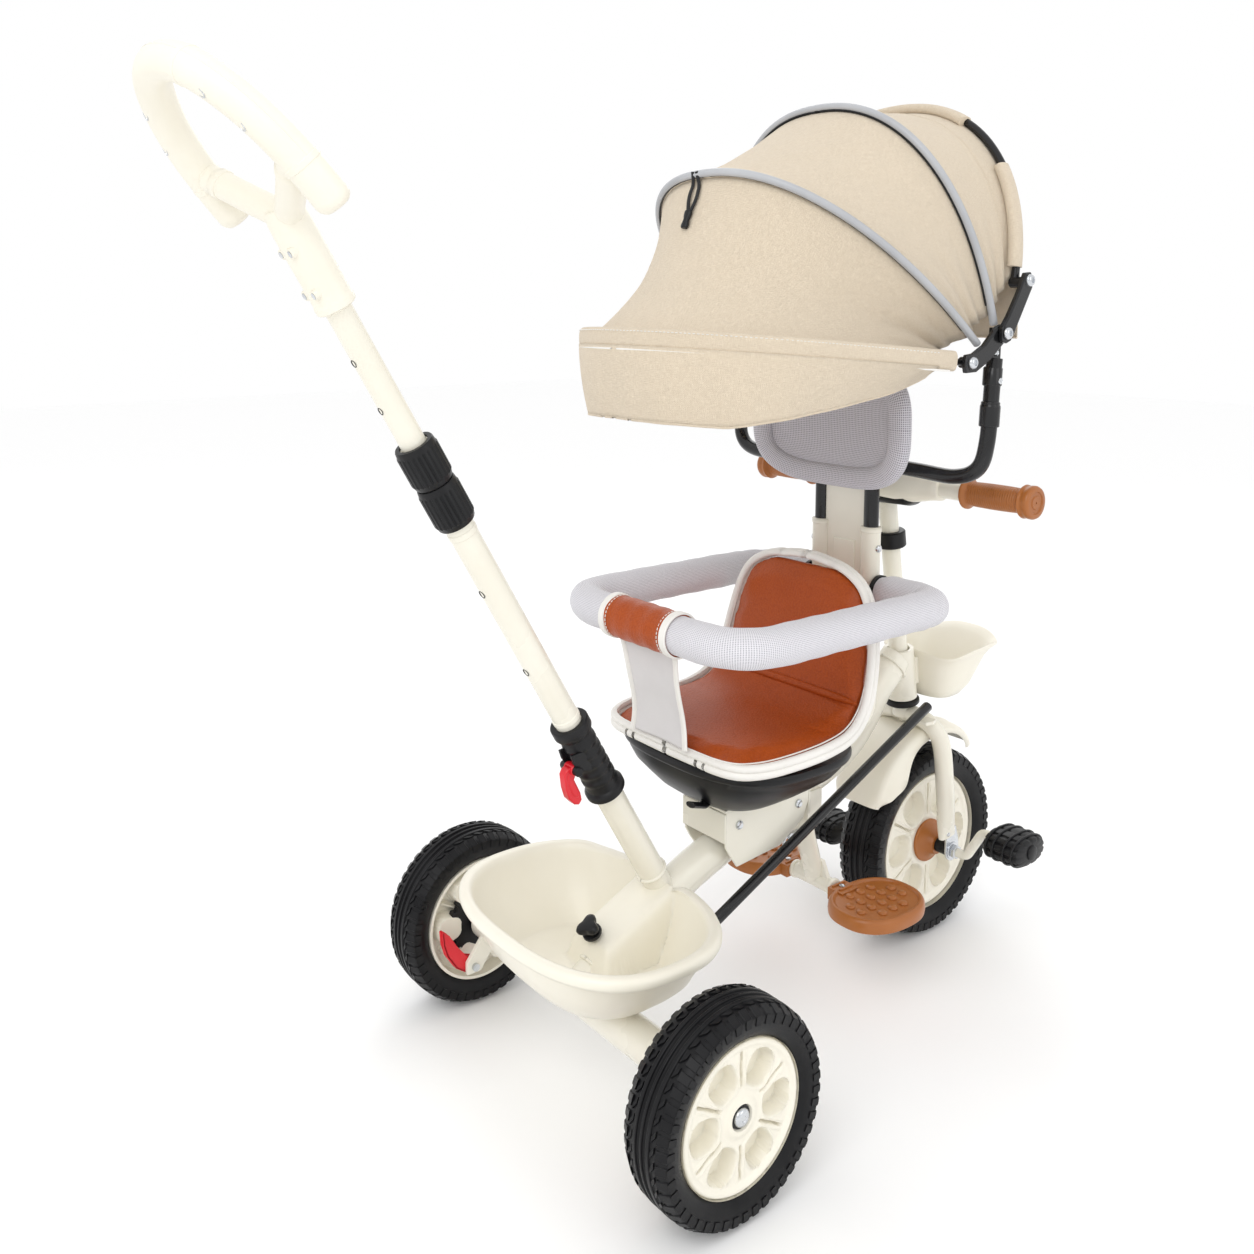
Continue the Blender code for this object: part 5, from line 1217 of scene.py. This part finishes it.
for i, point in enumerate(rail_points):
    size = 0.0208 + 0.0003 * math.sin(i * 0.9) + 0.0002 * math.sin(i * 0.37)
    size -= 0.0016 * math.exp(-((point.x + 0.128) / 0.0035) ** 2) * (point.y > 0.38)
    size -= 0.0016 * math.exp(-((point.y - 0.372) / 0.0035) ** 2)
    size *= 0.8 + 0.2 * ramp(min(i, len(rail_points) - 1 - i), 0, 3)
    rail_sizes.append(size)
rail = piece("guard_rail_foam", bar(rail_points, rail_sizes, 36, side=Z), LIGHT_MESH, "seat", "guard_rail")
piece("guard_rail_end_rings", together(*(
    turned([(0, 0.0165), (0, 0.019), (0.004, 0.019), (0.0052, 0.0165)], Vector((side * 0.05, BACK_Y, RAIL_Z)),
           X * side, 32) for _, side in SIDES)), BLACK_PLASTIC, "seat")
WRAP_HALF = 0.052
wrap_rows = []
for column in range(27):
    x = WRAP_HALF * (-1 + column / 13)
    flare = 0.0225 + 0.0004 * math.sin(column * 1.1) - 0.0009 * ramp(abs(column - 13), 11, 13)
    row = []
    for step in range(49):
        angle = math.radians(-98 + 356 * step / 48)
        row.append(Vector((x, RAIL_FRONT + math.cos(angle) * (flare + 0.0008 * math.sin(angle * 3 + column * 0.3)),
                           RAIL_Z + math.sin(angle) * flare)))
    wrap_rows.append(row)
wrap = piece("guard_rail_sleeve", skin(wrap_rows, band=True), LEATHER, "seat", "guard_rail_wrap")
thickened(wrap, 0.0014, 0)
stitch_parts = []
for side in (-1, 1):
    for step in range(34):
        angle = 2 * math.pi * step / 34
        mid = Vector((side * 0.0415, RAIL_FRONT + math.cos(angle) * 0.0236, RAIL_Z + math.sin(angle) * 0.0236))
        way = Vector((0, -math.sin(angle), math.cos(angle))) * 0.0014
        stitch_parts.append(bar([mid - way, mid + way], 0.0005, 6))
    stitch_parts.append(turned([(-0.0045, 0.0236), (-0.0036, 0.0246), (0.0036, 0.0246), (0.0045, 0.0236),
                                (0.0045, 0.0222), (-0.0045, 0.0222)],
                               Vector((side * (WRAP_HALF - 0.003), RAIL_FRONT, RAIL_Z)), X, 56, closed=True))
piece("guard_rail_sleeve_stitches", together(*stitch_parts), PIPING, "seat")
panel_rows = []
PANEL_ROWS = 20
for row in range(PANEL_ROWS + 1):
    t = row / PANEL_ROWS
    y = 0.106 - 0.016 * t * t + 0.0015 * math.sin(t * 7)
    z = 0.356 + 0.1035 * t
    half = 0.0385 + 0.0035 * (2 * t - 1) ** 2
    panel_rows.append([Vector((half * (-1 + column / 8), y + 0.0012 * math.cos(math.pi * (column - 8) / 8), z))
                       for column in range(17)])
edge_left = [row[0] for row in panel_rows]
edge_right = [row[-1] for row in panel_rows]
PALE_VINYL = (plain_finish("pale_grey_vinyl", (0.6, 0.58, 0.58), (0.69, 0.67, 0.67), 0.5, 0.0011, 0.00012),
              "grey_mesh")
crotch = piece("crotch_panel_cloth", skin(panel_rows, band=True), PALE_VINYL, "seat", "crotch_panel", smooth=1)
thickened(crotch, 0.0024)
piece("crotch_panel_binding", together(*(bar(line, 0.0036, 12, half_b=0.002) for line in (edge_left, edge_right))),
      PIPING, "seat")


# Canopy supports --------------------
# Black bent tubes: a hoop out of the backrest sleeves and two side posts with a telescopic joint and
# a stepped, screwed top below each hinge.
hoop = bent([Vector((-BACK_X, BACK_Y, 0.505)), Vector((-BACK_X, BACK_Y, 0.715)), Vector((BACK_X, BACK_Y, 0.715)),
             Vector((BACK_X, BACK_Y, 0.505))], 0.022, 10)
support_parts, support_screws = [bar(hoop, 0.0088, 28, side=Y)], []
for name, side in SIDES:
    post = curve_through([Vector((side * x, y, z)) for x, y, z in (
        (0.037, 0.405, 0.637), (0.1, 0.405, 0.6345), (0.148, 0.405, 0.633), (0.175, 0.407, 0.645),
        (0.183, 0.41, 0.675), (0.183, 0.415, 0.73), (0.183, 0.418, 0.764))], 8)
    support_parts.append(bar(post, 0.0085, 28, side=Y))
    joint = Vector((side * 0.183, 0.412, 0.69))
    support_parts.append(turned([(0, 0.0086), (0.001, 0.0106), (0.023, 0.0106), (0.024, 0.0098), (0.027, 0.0098),
                                 (0.028, 0.0086)], joint, Vector((0, 0.06, 1)).normalized(), 32, side=X))
    top = Vector((side * 0.182, 0.4175, 0.756))
    support_parts.append(turned([(-0.022, 0.0088), (-0.021, 0.01), (-0.003, 0.01), (-0.001, 0.0088)], top,
                                Vector((0, 0.06, 1)).normalized(), 32, side=X))
    support_parts.append(plate([(-0.008, -0.03), (0.008, -0.03), (0.0085, -0.01), (0.008, 0.006), (-0.008, 0.006),
                                (-0.0085, -0.01)], Vector((side * 0.182, 0.419, 0.791)), Y, Z, 0.0046))
    for z in (0.74, 0.77):
        support_screws.append(turned([(0.0, 0.0036), (0.0016, 0.0034), (0.0026, 0.0022), (0.002, 0.0012)],
                                     Vector((side * (0.1905 if z < 0.75 else 0.1846), 0.417, z)), X * side, 20))
piece("canopy_support_tubes", together(*support_parts), BLACK_PAINT, "seat", "canopy_support", edge=0.0006)
piece("canopy_support_screws", together(*support_screws), STEEL, "seat")


# Canopy bows and hinges --------------------
# Four arched bows fan out from a Z shaped hinge on each side: black tube for the visor and rear
# bows, silver grey piping over the two middle ones. Each hinge has three domed socket screws.
def arch(bow, inset=0.0, steps=60):
    """Bow from side to side; its numbers are foot, lean from straight back, reach, half width, squareness."""
    end, lean_deg, length, half, power = bow
    lean = math.radians(lean_deg)
    points = []
    for step in range(steps + 1):
        turn_angle = math.pi * (inset + (1 - 2 * inset) * step / steps)
        cos, sin = math.cos(turn_angle), abs(math.sin(turn_angle))
        across = math.copysign(abs(cos) ** (2 / power), cos) * half
        reach = length * sin ** (2 / power)
        points.append(Vector((across, end.y - reach * math.cos(lean), end.z + reach * math.sin(lean))))
    return points


VISOR_BOW = (Vector((0, 0.368, 0.761)), 5.0, 0.326, 0.18, 2.3)
FIRST_BOW = (Vector((0, 0.39, 0.78)), 38.5, 0.29, 0.18, 2.3)
SECOND_BOW = (Vector((0, 0.419, 0.8)), 71.6, 0.256, 0.18, 2.3)
REAR_BOW = (Vector((0, 0.454, 0.845)), 98.5, 0.21, 0.18, 2.2)
CANOPY_PIVOT = Vector((0, 0.419, 0.791))
BOW_RADIUS = 0.0042
SILVER_PIPING = (plain_finish("silver_grey_piping", (0.36, 0.37, 0.39), (0.47, 0.48, 0.5), 0.34, 0.0012, 0.00008),
                 "piping")
piece("canopy_first_piping", bar(arch(FIRST_BOW, steps=80), BOW_RADIUS, 16, side=Y), SILVER_PIPING,
      "canopy_first_bow", "canopy_bow_first")
piece("canopy_second_piping", bar(arch(SECOND_BOW, steps=80), BOW_RADIUS, 16, side=Y), SILVER_PIPING,
      "canopy_second_bow", "canopy_bow_second")
# A thin black bar under each middle bow's piping is a painted shadow line, not a part of the canopy.
for label, bow in (("first", FIRST_BOW), ("second", SECOND_BOW)):
    painted_shadow_line = [p + (Vector((0, 0.4, 0.8)) - p).normalized() * 0.003 - Y * 0.0024 - Z * 0.0012
                  for p in arch(bow, 0.02, 80)]
    piece(f"canopy_{label}_piping_edge", bar(painted_shadow_line, 0.0016, 8), BLACK_PLASTIC, f"canopy_{label}_bow")
visor_parts = [bar(arch(VISOR_BOW, steps=80), 0.0036, 14, side=Y)]
rear_parts = [bar(arch(REAR_BOW, steps=80), BOW_RADIUS, 18, side=Y)]
hinge_screws = {"canopy_visor": [], "seat": []}
SCREW_DOME = [(0, 0.0066), (0.0014, 0.0066), (0.003, 0.0056), (0.004, 0.0036), (0.004, 0.0028), (0.0026, 0.0024),
              (0.0026, 0.0004)]
for name, side in SIDES:
    hub = CANOPY_PIVOT + X * side * 0.1925
    front_arm = [(-0.06, -0.0405), (-0.043, -0.04), (-0.018, -0.028), (0.006, -0.01), (0.0092, -0.002),
                 (0.0082, 0.006), (0.001, 0.0096), (-0.008, 0.007), (-0.03, -0.012), (-0.048, -0.0205),
                 (-0.06, -0.0215), (-0.063, -0.031)]
    inner_front = [(a * 0.9 - 0.0015, b * 0.9 - 0.0015) for a, b in front_arm]
    visor_parts.append(plate(front_arm, hub - X * side * 0.005, Y, Z, 0.005))
    visor_parts.append(plate(inner_front, hub - X * side * 0.0028, Y, Z, 0.002))
    visor_parts.append(turned([(0.176, 0.006), (0.188, 0.006)], Vector((0, 0.368, 0.761)), X * side, 24))
    rear_arm = [(-0.008, -0.008), (0.0, -0.011), (0.008, -0.008), (0.025, 0.018), (0.044, 0.048),
                (0.045, 0.058), (0.04, 0.065), (0.031, 0.064), (0.02, 0.044), (0.002, 0.018), (-0.008, 0.006)]
    inner_rear = [(0.018 + (a - 0.018) * 0.88, 0.027 + (b - 0.027) * 0.9) for a, b in rear_arm]
    rear_parts.append(plate(rear_arm, hub + X * side * 0.001, Y, Z, 0.005))
    rear_parts.append(plate(inner_rear, hub + X * side * 0.0034, Y, Z, 0.002))
    rear_parts.append(turned([(0.176, 0.006), (0.193, 0.006)], Vector((0, 0.454, 0.845)), X * side, 24))
    hinge_screws["canopy_visor"].append(turned(SCREW_DOME, Vector((side * 0.1906, 0.368, 0.761)), X * side, 28))
    hinge_screws["seat"].append(turned(SCREW_DOME, hub + X * side * 0.0042, X * side, 28))
    hinge_screws["seat"].append(turned(SCREW_DOME, Vector((side * 0.1967, 0.456, 0.847)), X * side, 28))
piece("canopy_visor_bow_arms", together(*visor_parts), BLACK_PAINT, "canopy_visor", "canopy_bow_visor", edge=0.0008)
piece("canopy_rear_bow_arms", together(*rear_parts), BLACK_PAINT, "seat", "canopy_bow_rear", edge=0.0008)
piece("canopy_visor_screws", together(*hinge_screws["canopy_visor"]), STEEL, "canopy_visor")
piece("canopy_hinge_screws", together(*hinge_screws["seat"]), STEEL, "seat")


# Canopy cloth --------------------
# Beige linen weave stretched from bow to bow, drawn in between them and gathered at the hinges, with
# stitched casings round the visor and rear bows and a visor flap 78 mm deep with rounded ends.
def linen_finish():
    """Plain weave on the piece's own UVs: slubbed threads both ways, and a raised crossing pattern."""
    finish, tree, shader = new_finish("beige_linen_weave", 0.88, sheen=0.25)
    cut = tree.nodes.new("ShaderNodeTexCoord").outputs["UV"]
    slubs = []
    for thread_scale in ((2200, 160, 1), (160, 2200, 1)):
        stretch = tree.nodes.new("ShaderNodeVectorMath")
        stretch.operation = "MULTIPLY"
        stretch.inputs[1].default_value = thread_scale
        tree.links.new(cut, stretch.inputs[0])
        slubs.append(noise_node(tree, stretch.outputs[0], 1.0, 2))
    share = math_node(tree, "MULTIPLY", math_node(tree, "ADD", slubs[0], slubs[1]), 0.5)
    share = spread(tree, share, 0.38, 0.62, 0, 1)
    tree.links.new(colour_between(tree, share, (0.7, 0.585, 0.44), (0.81, 0.7, 0.545)),
                   shader.inputs["Base Color"])
    split = tree.nodes.new("ShaderNodeSeparateXYZ")
    tree.links.new(cut, split.inputs[0])
    over = [math_node(tree, "SINE", math_node(tree, "MULTIPLY", split.outputs[label], 2 * math.pi / 0.0018))
            for label in ("X", "Y")]
    crossing = math_node(tree, "MULTIPLY", over[0], over[1])
    height = math_node(tree, "ADD", math_node(tree, "MULTIPLY", share, 1.2), math_node(tree, "MULTIPLY", crossing, 0.4))
    raise_by(tree, shader, height, 0.00035)
    return finish


LINEN = (linen_finish(), "canopy_cloth")
LINEN_THICKNESS = 0.0012


def cloth_panel(first, second, sag, rows=22, columns=90, inset=0.008):
    """Rows of points of a panel just inside two bows, with its sag and its gathers at both hinges."""
    hub = Vector((0, 0.4, 0.8))
    lines = [arch(bow, inset, columns) for bow in (first, second)]
    ways = ways_along(lines[0])
    made = [[] for _ in range(rows + 1)]
    for column, (near, far, way) in enumerate(zip(lines[0], lines[1], ways)):
        out = way.cross(far - near).normalized()
        if out.dot(near - hub) < 0:
            out = -out
        from_end = min(column, columns - column) / columns
        for row in range(rows + 1):
            share = row / rows
            between = math.sin(math.pi * share)
            gather = 0.0026 * math.exp(-(from_end / 0.09) ** 2) * math.sin(share * 21 + 0.6)
            slack = 0.0007 * math.sin(column * 0.55 + share * 5) * math.sin(share * 9 + column * 0.21)
            made[row].append(near.lerp(far, share) - out * (0.0049 + sag * between - between * (gather + slack)))
    return made


def hang_between(cloth, body_a, body_b, lean_a, lean_b):
    """Bakes the cloth's placement into its mesh."""
    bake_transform(cloth)


def stitched(line, lift, pitch=0.0036, radius=0.00045):
    """Row of short raised stitches along a line, `lift` out from the canopy's hub."""
    hub = Vector((0, 0.4, 0.8))
    marks, travelled = [], 0.0
    for near, far in zip(line, line[1:]):
        travelled += (far - near).length
        if travelled < pitch:
            continue
        travelled = 0.0
        way = (far - near).normalized() * 0.0012
        spot = far + (far - hub).normalized() * lift
        marks.append(bar([spot - way, spot + way], radius, 4))
    return together(*marks)


canopy_rows = {}
for name, bows, sag, bodies, node, flat, area in (
        ("front", (VISOR_BOW, FIRST_BOW), 0.022, ("canopy_visor", "canopy_first_bow"), "canopy_panel_front",
         (0.79, 0.214), 0.1012),
        ("middle", (FIRST_BOW, SECOND_BOW), 0.006, ("canopy_first_bow", "canopy_second_bow"), "canopy_panel_middle",
         (0.729, 0.194), 0.0904),
        ("rear", (SECOND_BOW, REAR_BOW), 0.002, ("canopy_second_bow", "seat"), "canopy_panel_rear",
         (0.672, 0.147), 0.0677)):
    canopy_rows[name] = cloth_panel(*bows, sag)
    cloth = piece(f"canopy_cloth_{name}", skin(canopy_rows[name], band=True), LINEN, None, node)
    thickened(cloth, LINEN_THICKNESS, 0)
    hang_between(cloth, *bodies, bows[0][1], bows[1][1])

# Casing round the visor bow, 22 mm tall, with a stitch row above it and a pale seam below.
casing_rings = []
visor_line = arch(VISOR_BOW, 0.012, 96)
for point, way in zip(visor_line, ways_along(visor_line)):
    casing_rings.append(ring(point + Z * 0.0005, way, 0.0108, 0.0056, 20, 2.6, side=Z))
piece("canopy_visor_casing", skin(casing_rings), LINEN, "canopy_visor")
piece("canopy_visor_casing_stitches", together(
    stitched([p + Z * 0.0085 for p in arch(VISOR_BOW, 0.03, 420)], 0.0056),
    bar([p - Z * 0.01 + (p - Vector((0, 0.4, p.z))).normalized() * 0.005 for p in arch(VISOR_BOW, 0.02, 96)],
        0.0012, 6)), PIPING, "canopy_visor")
flap_rows = []
FLAP_ROWS, FLAP_COLUMNS = 14, 110
flap_top = arch(VISOR_BOW, 0.035, FLAP_COLUMNS)
for row in range(FLAP_ROWS + 1):
    t = row / FLAP_ROWS
    line = []
    for column, (point, way) in enumerate(zip(flap_top, ways_along(flap_top))):
        out = way.cross(Z).normalized()
        if out.dot(point - CANOPY_PIVOT) < 0:
            out = -out
        share = column / FLAP_COLUMNS
        drop = 0.006 + 0.07 * min(1.0, math.sin(math.pi * share) * 1.25) ** 0.7
        wave = 0.0016 * math.sin(column * 0.31) * t + 0.0009 * math.sin(column * 0.83 + 2) * t * t
        line.append(point + out * (0.0052 - 0.011 * t * t + wave) - Z * (0.006 + drop * t))
    flap_rows.append(line)
flap = piece("canopy_visor_flap_cloth", skin(flap_rows, band=True), LINEN, "canopy_visor", "canopy_visor_flap")
thickened(flap, LINEN_THICKNESS, 0)
piece("canopy_flap_hem", together(bar(flap_rows[-1], 0.0013, 8), bar(flap_rows[-2], 0.0007, 6)), LINEN, "canopy_visor")

# Cloth sleeve over the rear bow, open where the black tube shows; its seam; and the drape behind it.
for label, start, stop in (("right", 0.02, 0.205), ("top", 0.335, 0.98)):
    sleeve_line = arch(REAR_BOW, 0.0, 200)[round(200 * start):round(200 * stop)]
    sleeve_rings = [ring(point - Y * 0.003, way, 0.0092, 0.0062, 16, 2.4, side=Y)
                    for point, way in zip(sleeve_line, ways_along(sleeve_line))]
    piece(f"canopy_rear_sleeve_{label}", skin(sleeve_rings), LINEN, "seat")
seam_row, stitch_row = canopy_rows["rear"][15:17]
rear_seam = piece("canopy_rear_casing_seam", together(bar(seam_row[2:-2], 0.0009, 6), stitched(
    [a.lerp(b, s / 5) for a, b in zip(stitch_row, stitch_row[1:]) for s in range(5)], 0.0008)), LINEN, None)
hang_between(rear_seam, "canopy_second_bow", "seat", SECOND_BOW[1], REAR_BOW[1])
drape_rows = []
for row in range(11):
    t = row / 10
    line = []
    for column, point in enumerate(arch(REAR_BOW, 0.05, 70)):
        top = point + Vector((0, BOW_RADIUS + 0.0012, 0))
        low = Vector((point.x, 0.466, 0.785))
        wave = 0.0014 * math.sin(column * 0.42) * math.sin(math.pi * min(t * 1.4, 1.0))
        line.append(top.lerp(low, t) + Y * wave)
    drape_rows.append(line)
drape = piece("canopy_rear_drape", skin(drape_rows, band=True), LINEN, "seat", "canopy_back")
thickened(drape, LINEN_THICKNESS, 0)
piece("canopy_drape_hem", bar(drape_rows[-1], 0.0012, 8), LINEN, "seat")

# Black tie strap with a clip, over the first bow.
front_rows = canopy_rows["front"]
STRAP_COLUMN = 46
strap_parts = []
STRAP_LOOP_HALF = 0.0045
for side in (-1, 1):
    strand = []
    for row, opening in ((22, 0.6), (21, 1.0), (20, 1.3), (19, 1.1), (18, 0.4)):
        point = front_rows[row][STRAP_COLUMN]
        strand.append(point + (point - Vector((0, 0.4, 0.8))).normalized() * (0.0035 if row < 22 else 0.0095)
                      + X * side * STRAP_LOOP_HALF * opening)
    strand = curve_through(strand, 6)
    strap_parts.append(skin([ring(point, way, 0.0024, 0.0008, 12, 4.0, side=X)
                             for point, way in zip(strand, ways_along(strand))]))
clip_line = [front_rows[row][STRAP_COLUMN] + (front_rows[row][STRAP_COLUMN] - Vector((0, 0.4, 0.8))).normalized()
             * 0.0042 for row in (18, 17, 16)]
clip_line = curve_through(clip_line, 4)
strap_parts.append(bar(clip_line, [0.0042, 0.0052, 0.0052, 0.0046, 0.0036, 0.004, 0.005, 0.005, 0.004], 20,
                       half_b=0.003))
piece("canopy_strap", together(*strap_parts), BLACK_PLASTIC, "canopy_first_bow", edge=0.0004)


# Push bar --------------------
# Cream tube turning in the frame's socket: a swaged foot with its crank, a black clamp sleeve with a
# red quick release, two ribbed black twist collars, and a telescopic upper tube with round holes.
lower_profile = [(-0.085, 0.0095), (-0.0838, 0.0118), (-0.072, 0.0118), (-0.0715, 0.013), (0.18, 0.013),
                 (0.19, 0.0134), (0.2, 0.0142), (0.57, 0.0142), (0.57, 0.0128), (0.47, 0.0128),
                 (0.24, 0.01)]
crank_web = skin([ring(on_bar(-0.0812) + X * x, X, 0.008 - 0.003 * ramp(x, 0.04, 0.051), 0.0035, 24, 4.0, side=Y)
                  for x in (0.0, 0.02, 0.04, 0.047, 0.051)])
sleeve_rings = [turned([(0, 0.0143), (0.0006, 0.0149), (0.006, 0.0149), (0.0066, 0.0143)], on_bar(at), BAR_AXIS, 40,
                       side=X) for at in (0.229, 0.468)]
piece("push_bar_lower_tube", together(turned(lower_profile, BAR_FOOT, BAR_AXIS, 48, side=X), crank_web, *sleeve_rings),
      CREAM_PAINT, "push_bar", "push_bar_lower", edge=0.0005)
lever_out = BAR_AXIS.cross(X).normalized()
if lever_out.y > 0:
    lever_out.negate()
hole_parts = []
for at in (0.305, 0.405):
    hole_parts.append(turned([(0.01395, 0.004), (0.01435, 0.0044), (0.0145, 0.0036), (0.014, 0.003)],
                             on_bar(at), lever_out, 24))
piece("push_bar_hole_rims", together(*hole_parts), BLACK_PLASTIC, "push_bar")
piece("snap_button_dome", turned([(0.0132, 0.004), (0.0158, 0.004), (0.0172, 0.0034), (0.0179, 0.0018)],
                                 on_bar(0.346), -X, 24), STEEL, "snap_button", "snap_button")

clamp_profile = [(0.1285, 0.0134), (0.1285, 0.0208), (0.1295, 0.0218), (0.135, 0.0218), (0.1365, 0.0208),
                 (0.1385, 0.0184), (0.145, 0.018)]
for rib in range(5):
    at = 0.148 + 0.012 * rib
    clamp_profile += [(at, 0.018), (at + 0.0008, 0.0186), (at + 0.0052, 0.0186), (at + 0.006, 0.018)]
clamp_profile += [(0.211, 0.018), (0.2135, 0.0204), (0.215, 0.0211), (0.2245, 0.0211), (0.226, 0.02),
                  (0.226, 0.0146), (0.198, 0.0146), (0.178, 0.0134)]
clamp_ears = [plate([(0.0, -0.014), (0.026, -0.011), (0.028, 0.0), (0.026, 0.011), (0.0, 0.014)],
                    on_bar(0.18) + X * shift, -Y, BAR_AXIS, 0.0034) for shift in (-0.005, 0.0145)]
piece("push_bar_clamp", together(turned(clamp_profile, BAR_FOOT, BAR_AXIS, 56, closed=True, side=X), *clamp_ears),
      BLACK_PLASTIC, "push_bar", "push_clamp", edge=0.0005)
LEVER_PIVOT = on_bar(0.18) - Y * 0.02 - Z * 0.006 + X * 0.006
lever_shape = [(-0.002, 0.003), (0.002, 0.0058), (0.007, 0.0062), (0.0125, 0.003), (0.018, -0.01), (0.0205, -0.022),
               (0.018, -0.032), (0.014, -0.036), (0.0085, -0.034), (0.006, -0.026), (0.005, -0.008),
               (-0.002, -0.004)]
lever_rib = [(0.006 + (a - 0.006) * 0.55, -0.01 + (b + 0.01) * 0.7) for a, b in lever_shape]
piece("quick_release_lever", together(
    plate(lever_shape, LEVER_PIVOT + lever_out * 0.0045, lever_out, BAR_AXIS, 0.01),
    plate(lever_rib, LEVER_PIVOT + lever_out * 0.0055, lever_out, BAR_AXIS, 0.0118),
    turned([(-0.007, 0.006), (0.007, 0.006)], LEVER_PIVOT + lever_out * 0.004, X, 28)),
    RED_PLASTIC, "clamp_lever", "clamp_lever", edge=0.001)
piece("quick_release_pin", turned([(-0.015, 0.004), (-0.013, 0.005), (0.0125, 0.005), (0.014, 0.0036)],
                                  LEVER_PIVOT + lever_out * 0.004, X, 24), BLACK_PLASTIC, "clamp_lever")
for name, start, stop in (("lower", 0.482, 0.528), ("upper", 0.529, 0.572)):
    RIB_COUNT = 24
    collar_rings = []
    for at, radius, tooth in ((start, 0.0145, 0), (start, 0.018, 0), (start + 0.0012, 0.0188, 0),
                              (start + 0.005, 0.0198, 0), (start + 0.0062, 0.0206, 1), (stop - 0.0074, 0.0206, 1),
                              (stop - 0.006, 0.0198, 0), (stop - 0.0014, 0.0192, 0), (stop, 0.0184, 0),
                              (stop, 0.0145, 0)):
        centre = on_bar(at)
        points = ring(centre, BAR_AXIS, radius, radius, RIB_COUNT * 6)
        collar_rings.append([centre + (p - centre) * (1 - 0.055 * tooth * (i % 6 in (0, 1)))
                             for i, p in enumerate(points)])
    piece(f"twist_collar_{name}_ribbed", skin(collar_rings, closed=True), BLACK_PLASTIC, f"twist_collar_{name}",
          f"twist_collar_{name}", sharp=30)
upper_holes = [turned([(0.01225, 0.0034), (0.0127, 0.0038), (0.0128, 0.003), (0.0123, 0.0026)], on_bar(at),
                      lever_out, 24) for at in (0.615, 0.665)]
piece("push_bar_upper_tube", pipe(on_bar(0.43), on_bar(0.79), 0.0125, 0.011, 48), CREAM_PAINT,
      "push_bar_extension", "push_bar_upper", edge=0.0004)
piece("push_bar_upper_holes", together(*upper_holes), BLACK_PLASTIC, "push_bar_extension")


# Push handle --------------------
# Moulded cream loop with two spokes and a long neck sleeve: overlapping ring joints at the spokes, a
# seam round the loop, a ring near its top, oval screw recesses, and four screw bosses on the neck.
LOOP_AXIS = Vector((0, -0.669, 0.743)).normalized()
NECK = on_bar(0.805)
LOOP_FACE = LOOP_AXIS.cross(X).normalized()


def on_loop(across, up):
    """Point in the handle loop's plane."""
    return NECK + X * across + LOOP_AXIS * up


loop_corners = [on_loop(a, b) for a, b in (
    (0.099, 0.0), (0.098, 0.03), (0.091, 0.07), (0.072, 0.108), (0.04, 0.139), (0.0, 0.15),
    (-0.04, 0.139), (-0.072, 0.108), (-0.091, 0.07), (-0.098, 0.03), (-0.099, 0.0))]
loop_line = curve_through(loop_corners, 10)
loop_sizes = []
for i in range(len(loop_line)):
    from_end = min(i, len(loop_line) - 1 - i)
    loop_sizes.append(0.0155 * (1 - 0.3 * (1 - min(from_end, 4) / 4) ** 2))
loop_ways = ways_along(loop_line)
handle_parts = [bar(loop_line, loop_sizes, 40, side=LOOP_FACE)]
handle_parts.append(bar([p + (p - on_loop(0, 0.05)).normalized() * 0.01545 for p in loop_line[5:-5]], 0.0006, 6))
for share in (0.13, 0.4, 0.87):
    i = round(share * (len(loop_line) - 1))
    handle_parts.append(turned([(-0.003, 0.0153), (-0.0024, 0.016), (0.0024, 0.016), (0.003, 0.0153)],
                               loop_line[i], loop_ways[i], 40, side=LOOP_FACE))
for _, side in SIDES:
    spoke = curve_through([on_loop(0.0, -0.004), on_loop(side * 0.04, 0.018), on_loop(side * 0.086, 0.046)], 8)
    handle_parts.append(bar(spoke, 0.0125, 32, side=Z))
    outer_end, before = spoke[-4], (spoke[-1] - spoke[-6]).normalized()
    handle_parts.append(turned([(-0.003, 0.0124), (-0.002, 0.0136), (0.005, 0.0136), (0.0064, 0.0124)], outer_end,
                               before, 36))
neck_profile = [(0.715, 0.0128), (0.715, 0.0172), (0.7162, 0.0186), (0.7215, 0.019), (0.723, 0.0184),
                (0.7245, 0.018), (0.79, 0.0184), (0.802, 0.018), (0.809, 0.0166), (0.812, 0.0148)]
handle_parts.append(turned(neck_profile, BAR_FOOT, BAR_AXIS, 48, side=X))
for at in (0.736, 0.776):
    for shift in (-0.009, 0.009):
        handle_parts.append(turned([(0.01, 0.0048), (0.0172, 0.0048), (0.018, 0.004), (0.0176, 0.003)],
                                   on_bar(at) + X * shift, lever_out, 24))
piece("push_handle_moulding", together(*handle_parts), CREAM_PLASTIC, "push_bar_extension", "push_handle", edge=0.0005,
      sharp=45)
recess_parts = []
for share in (0.24, 0.33, 0.67, 0.76):
    i = round(share * (len(loop_line) - 1))
    under = loop_line[i] + lever_out * 0.015
    recess_parts.append(skin([ring(under + lever_out * lift, lever_out, half_a, half_b, 28, 2.0, side=loop_ways[i])
                              for lift, half_a, half_b in ((-0.002, 0.0058, 0.0036), (0.0004, 0.0058, 0.0036),
                                                           (0.0005, 0.0046, 0.0026), (-0.0006, 0.0042, 0.0022))]))
recess_parts += [turned([(0.015, 0.003), (0.0182, 0.003), (0.0186, 0.0018)], on_bar(at) + X * shift, lever_out, 20)
                 for at in (0.736, 0.776) for shift in (-0.009, 0.009)]
piece("push_handle_screws", together(*recess_parts), STEEL, "push_bar_extension")
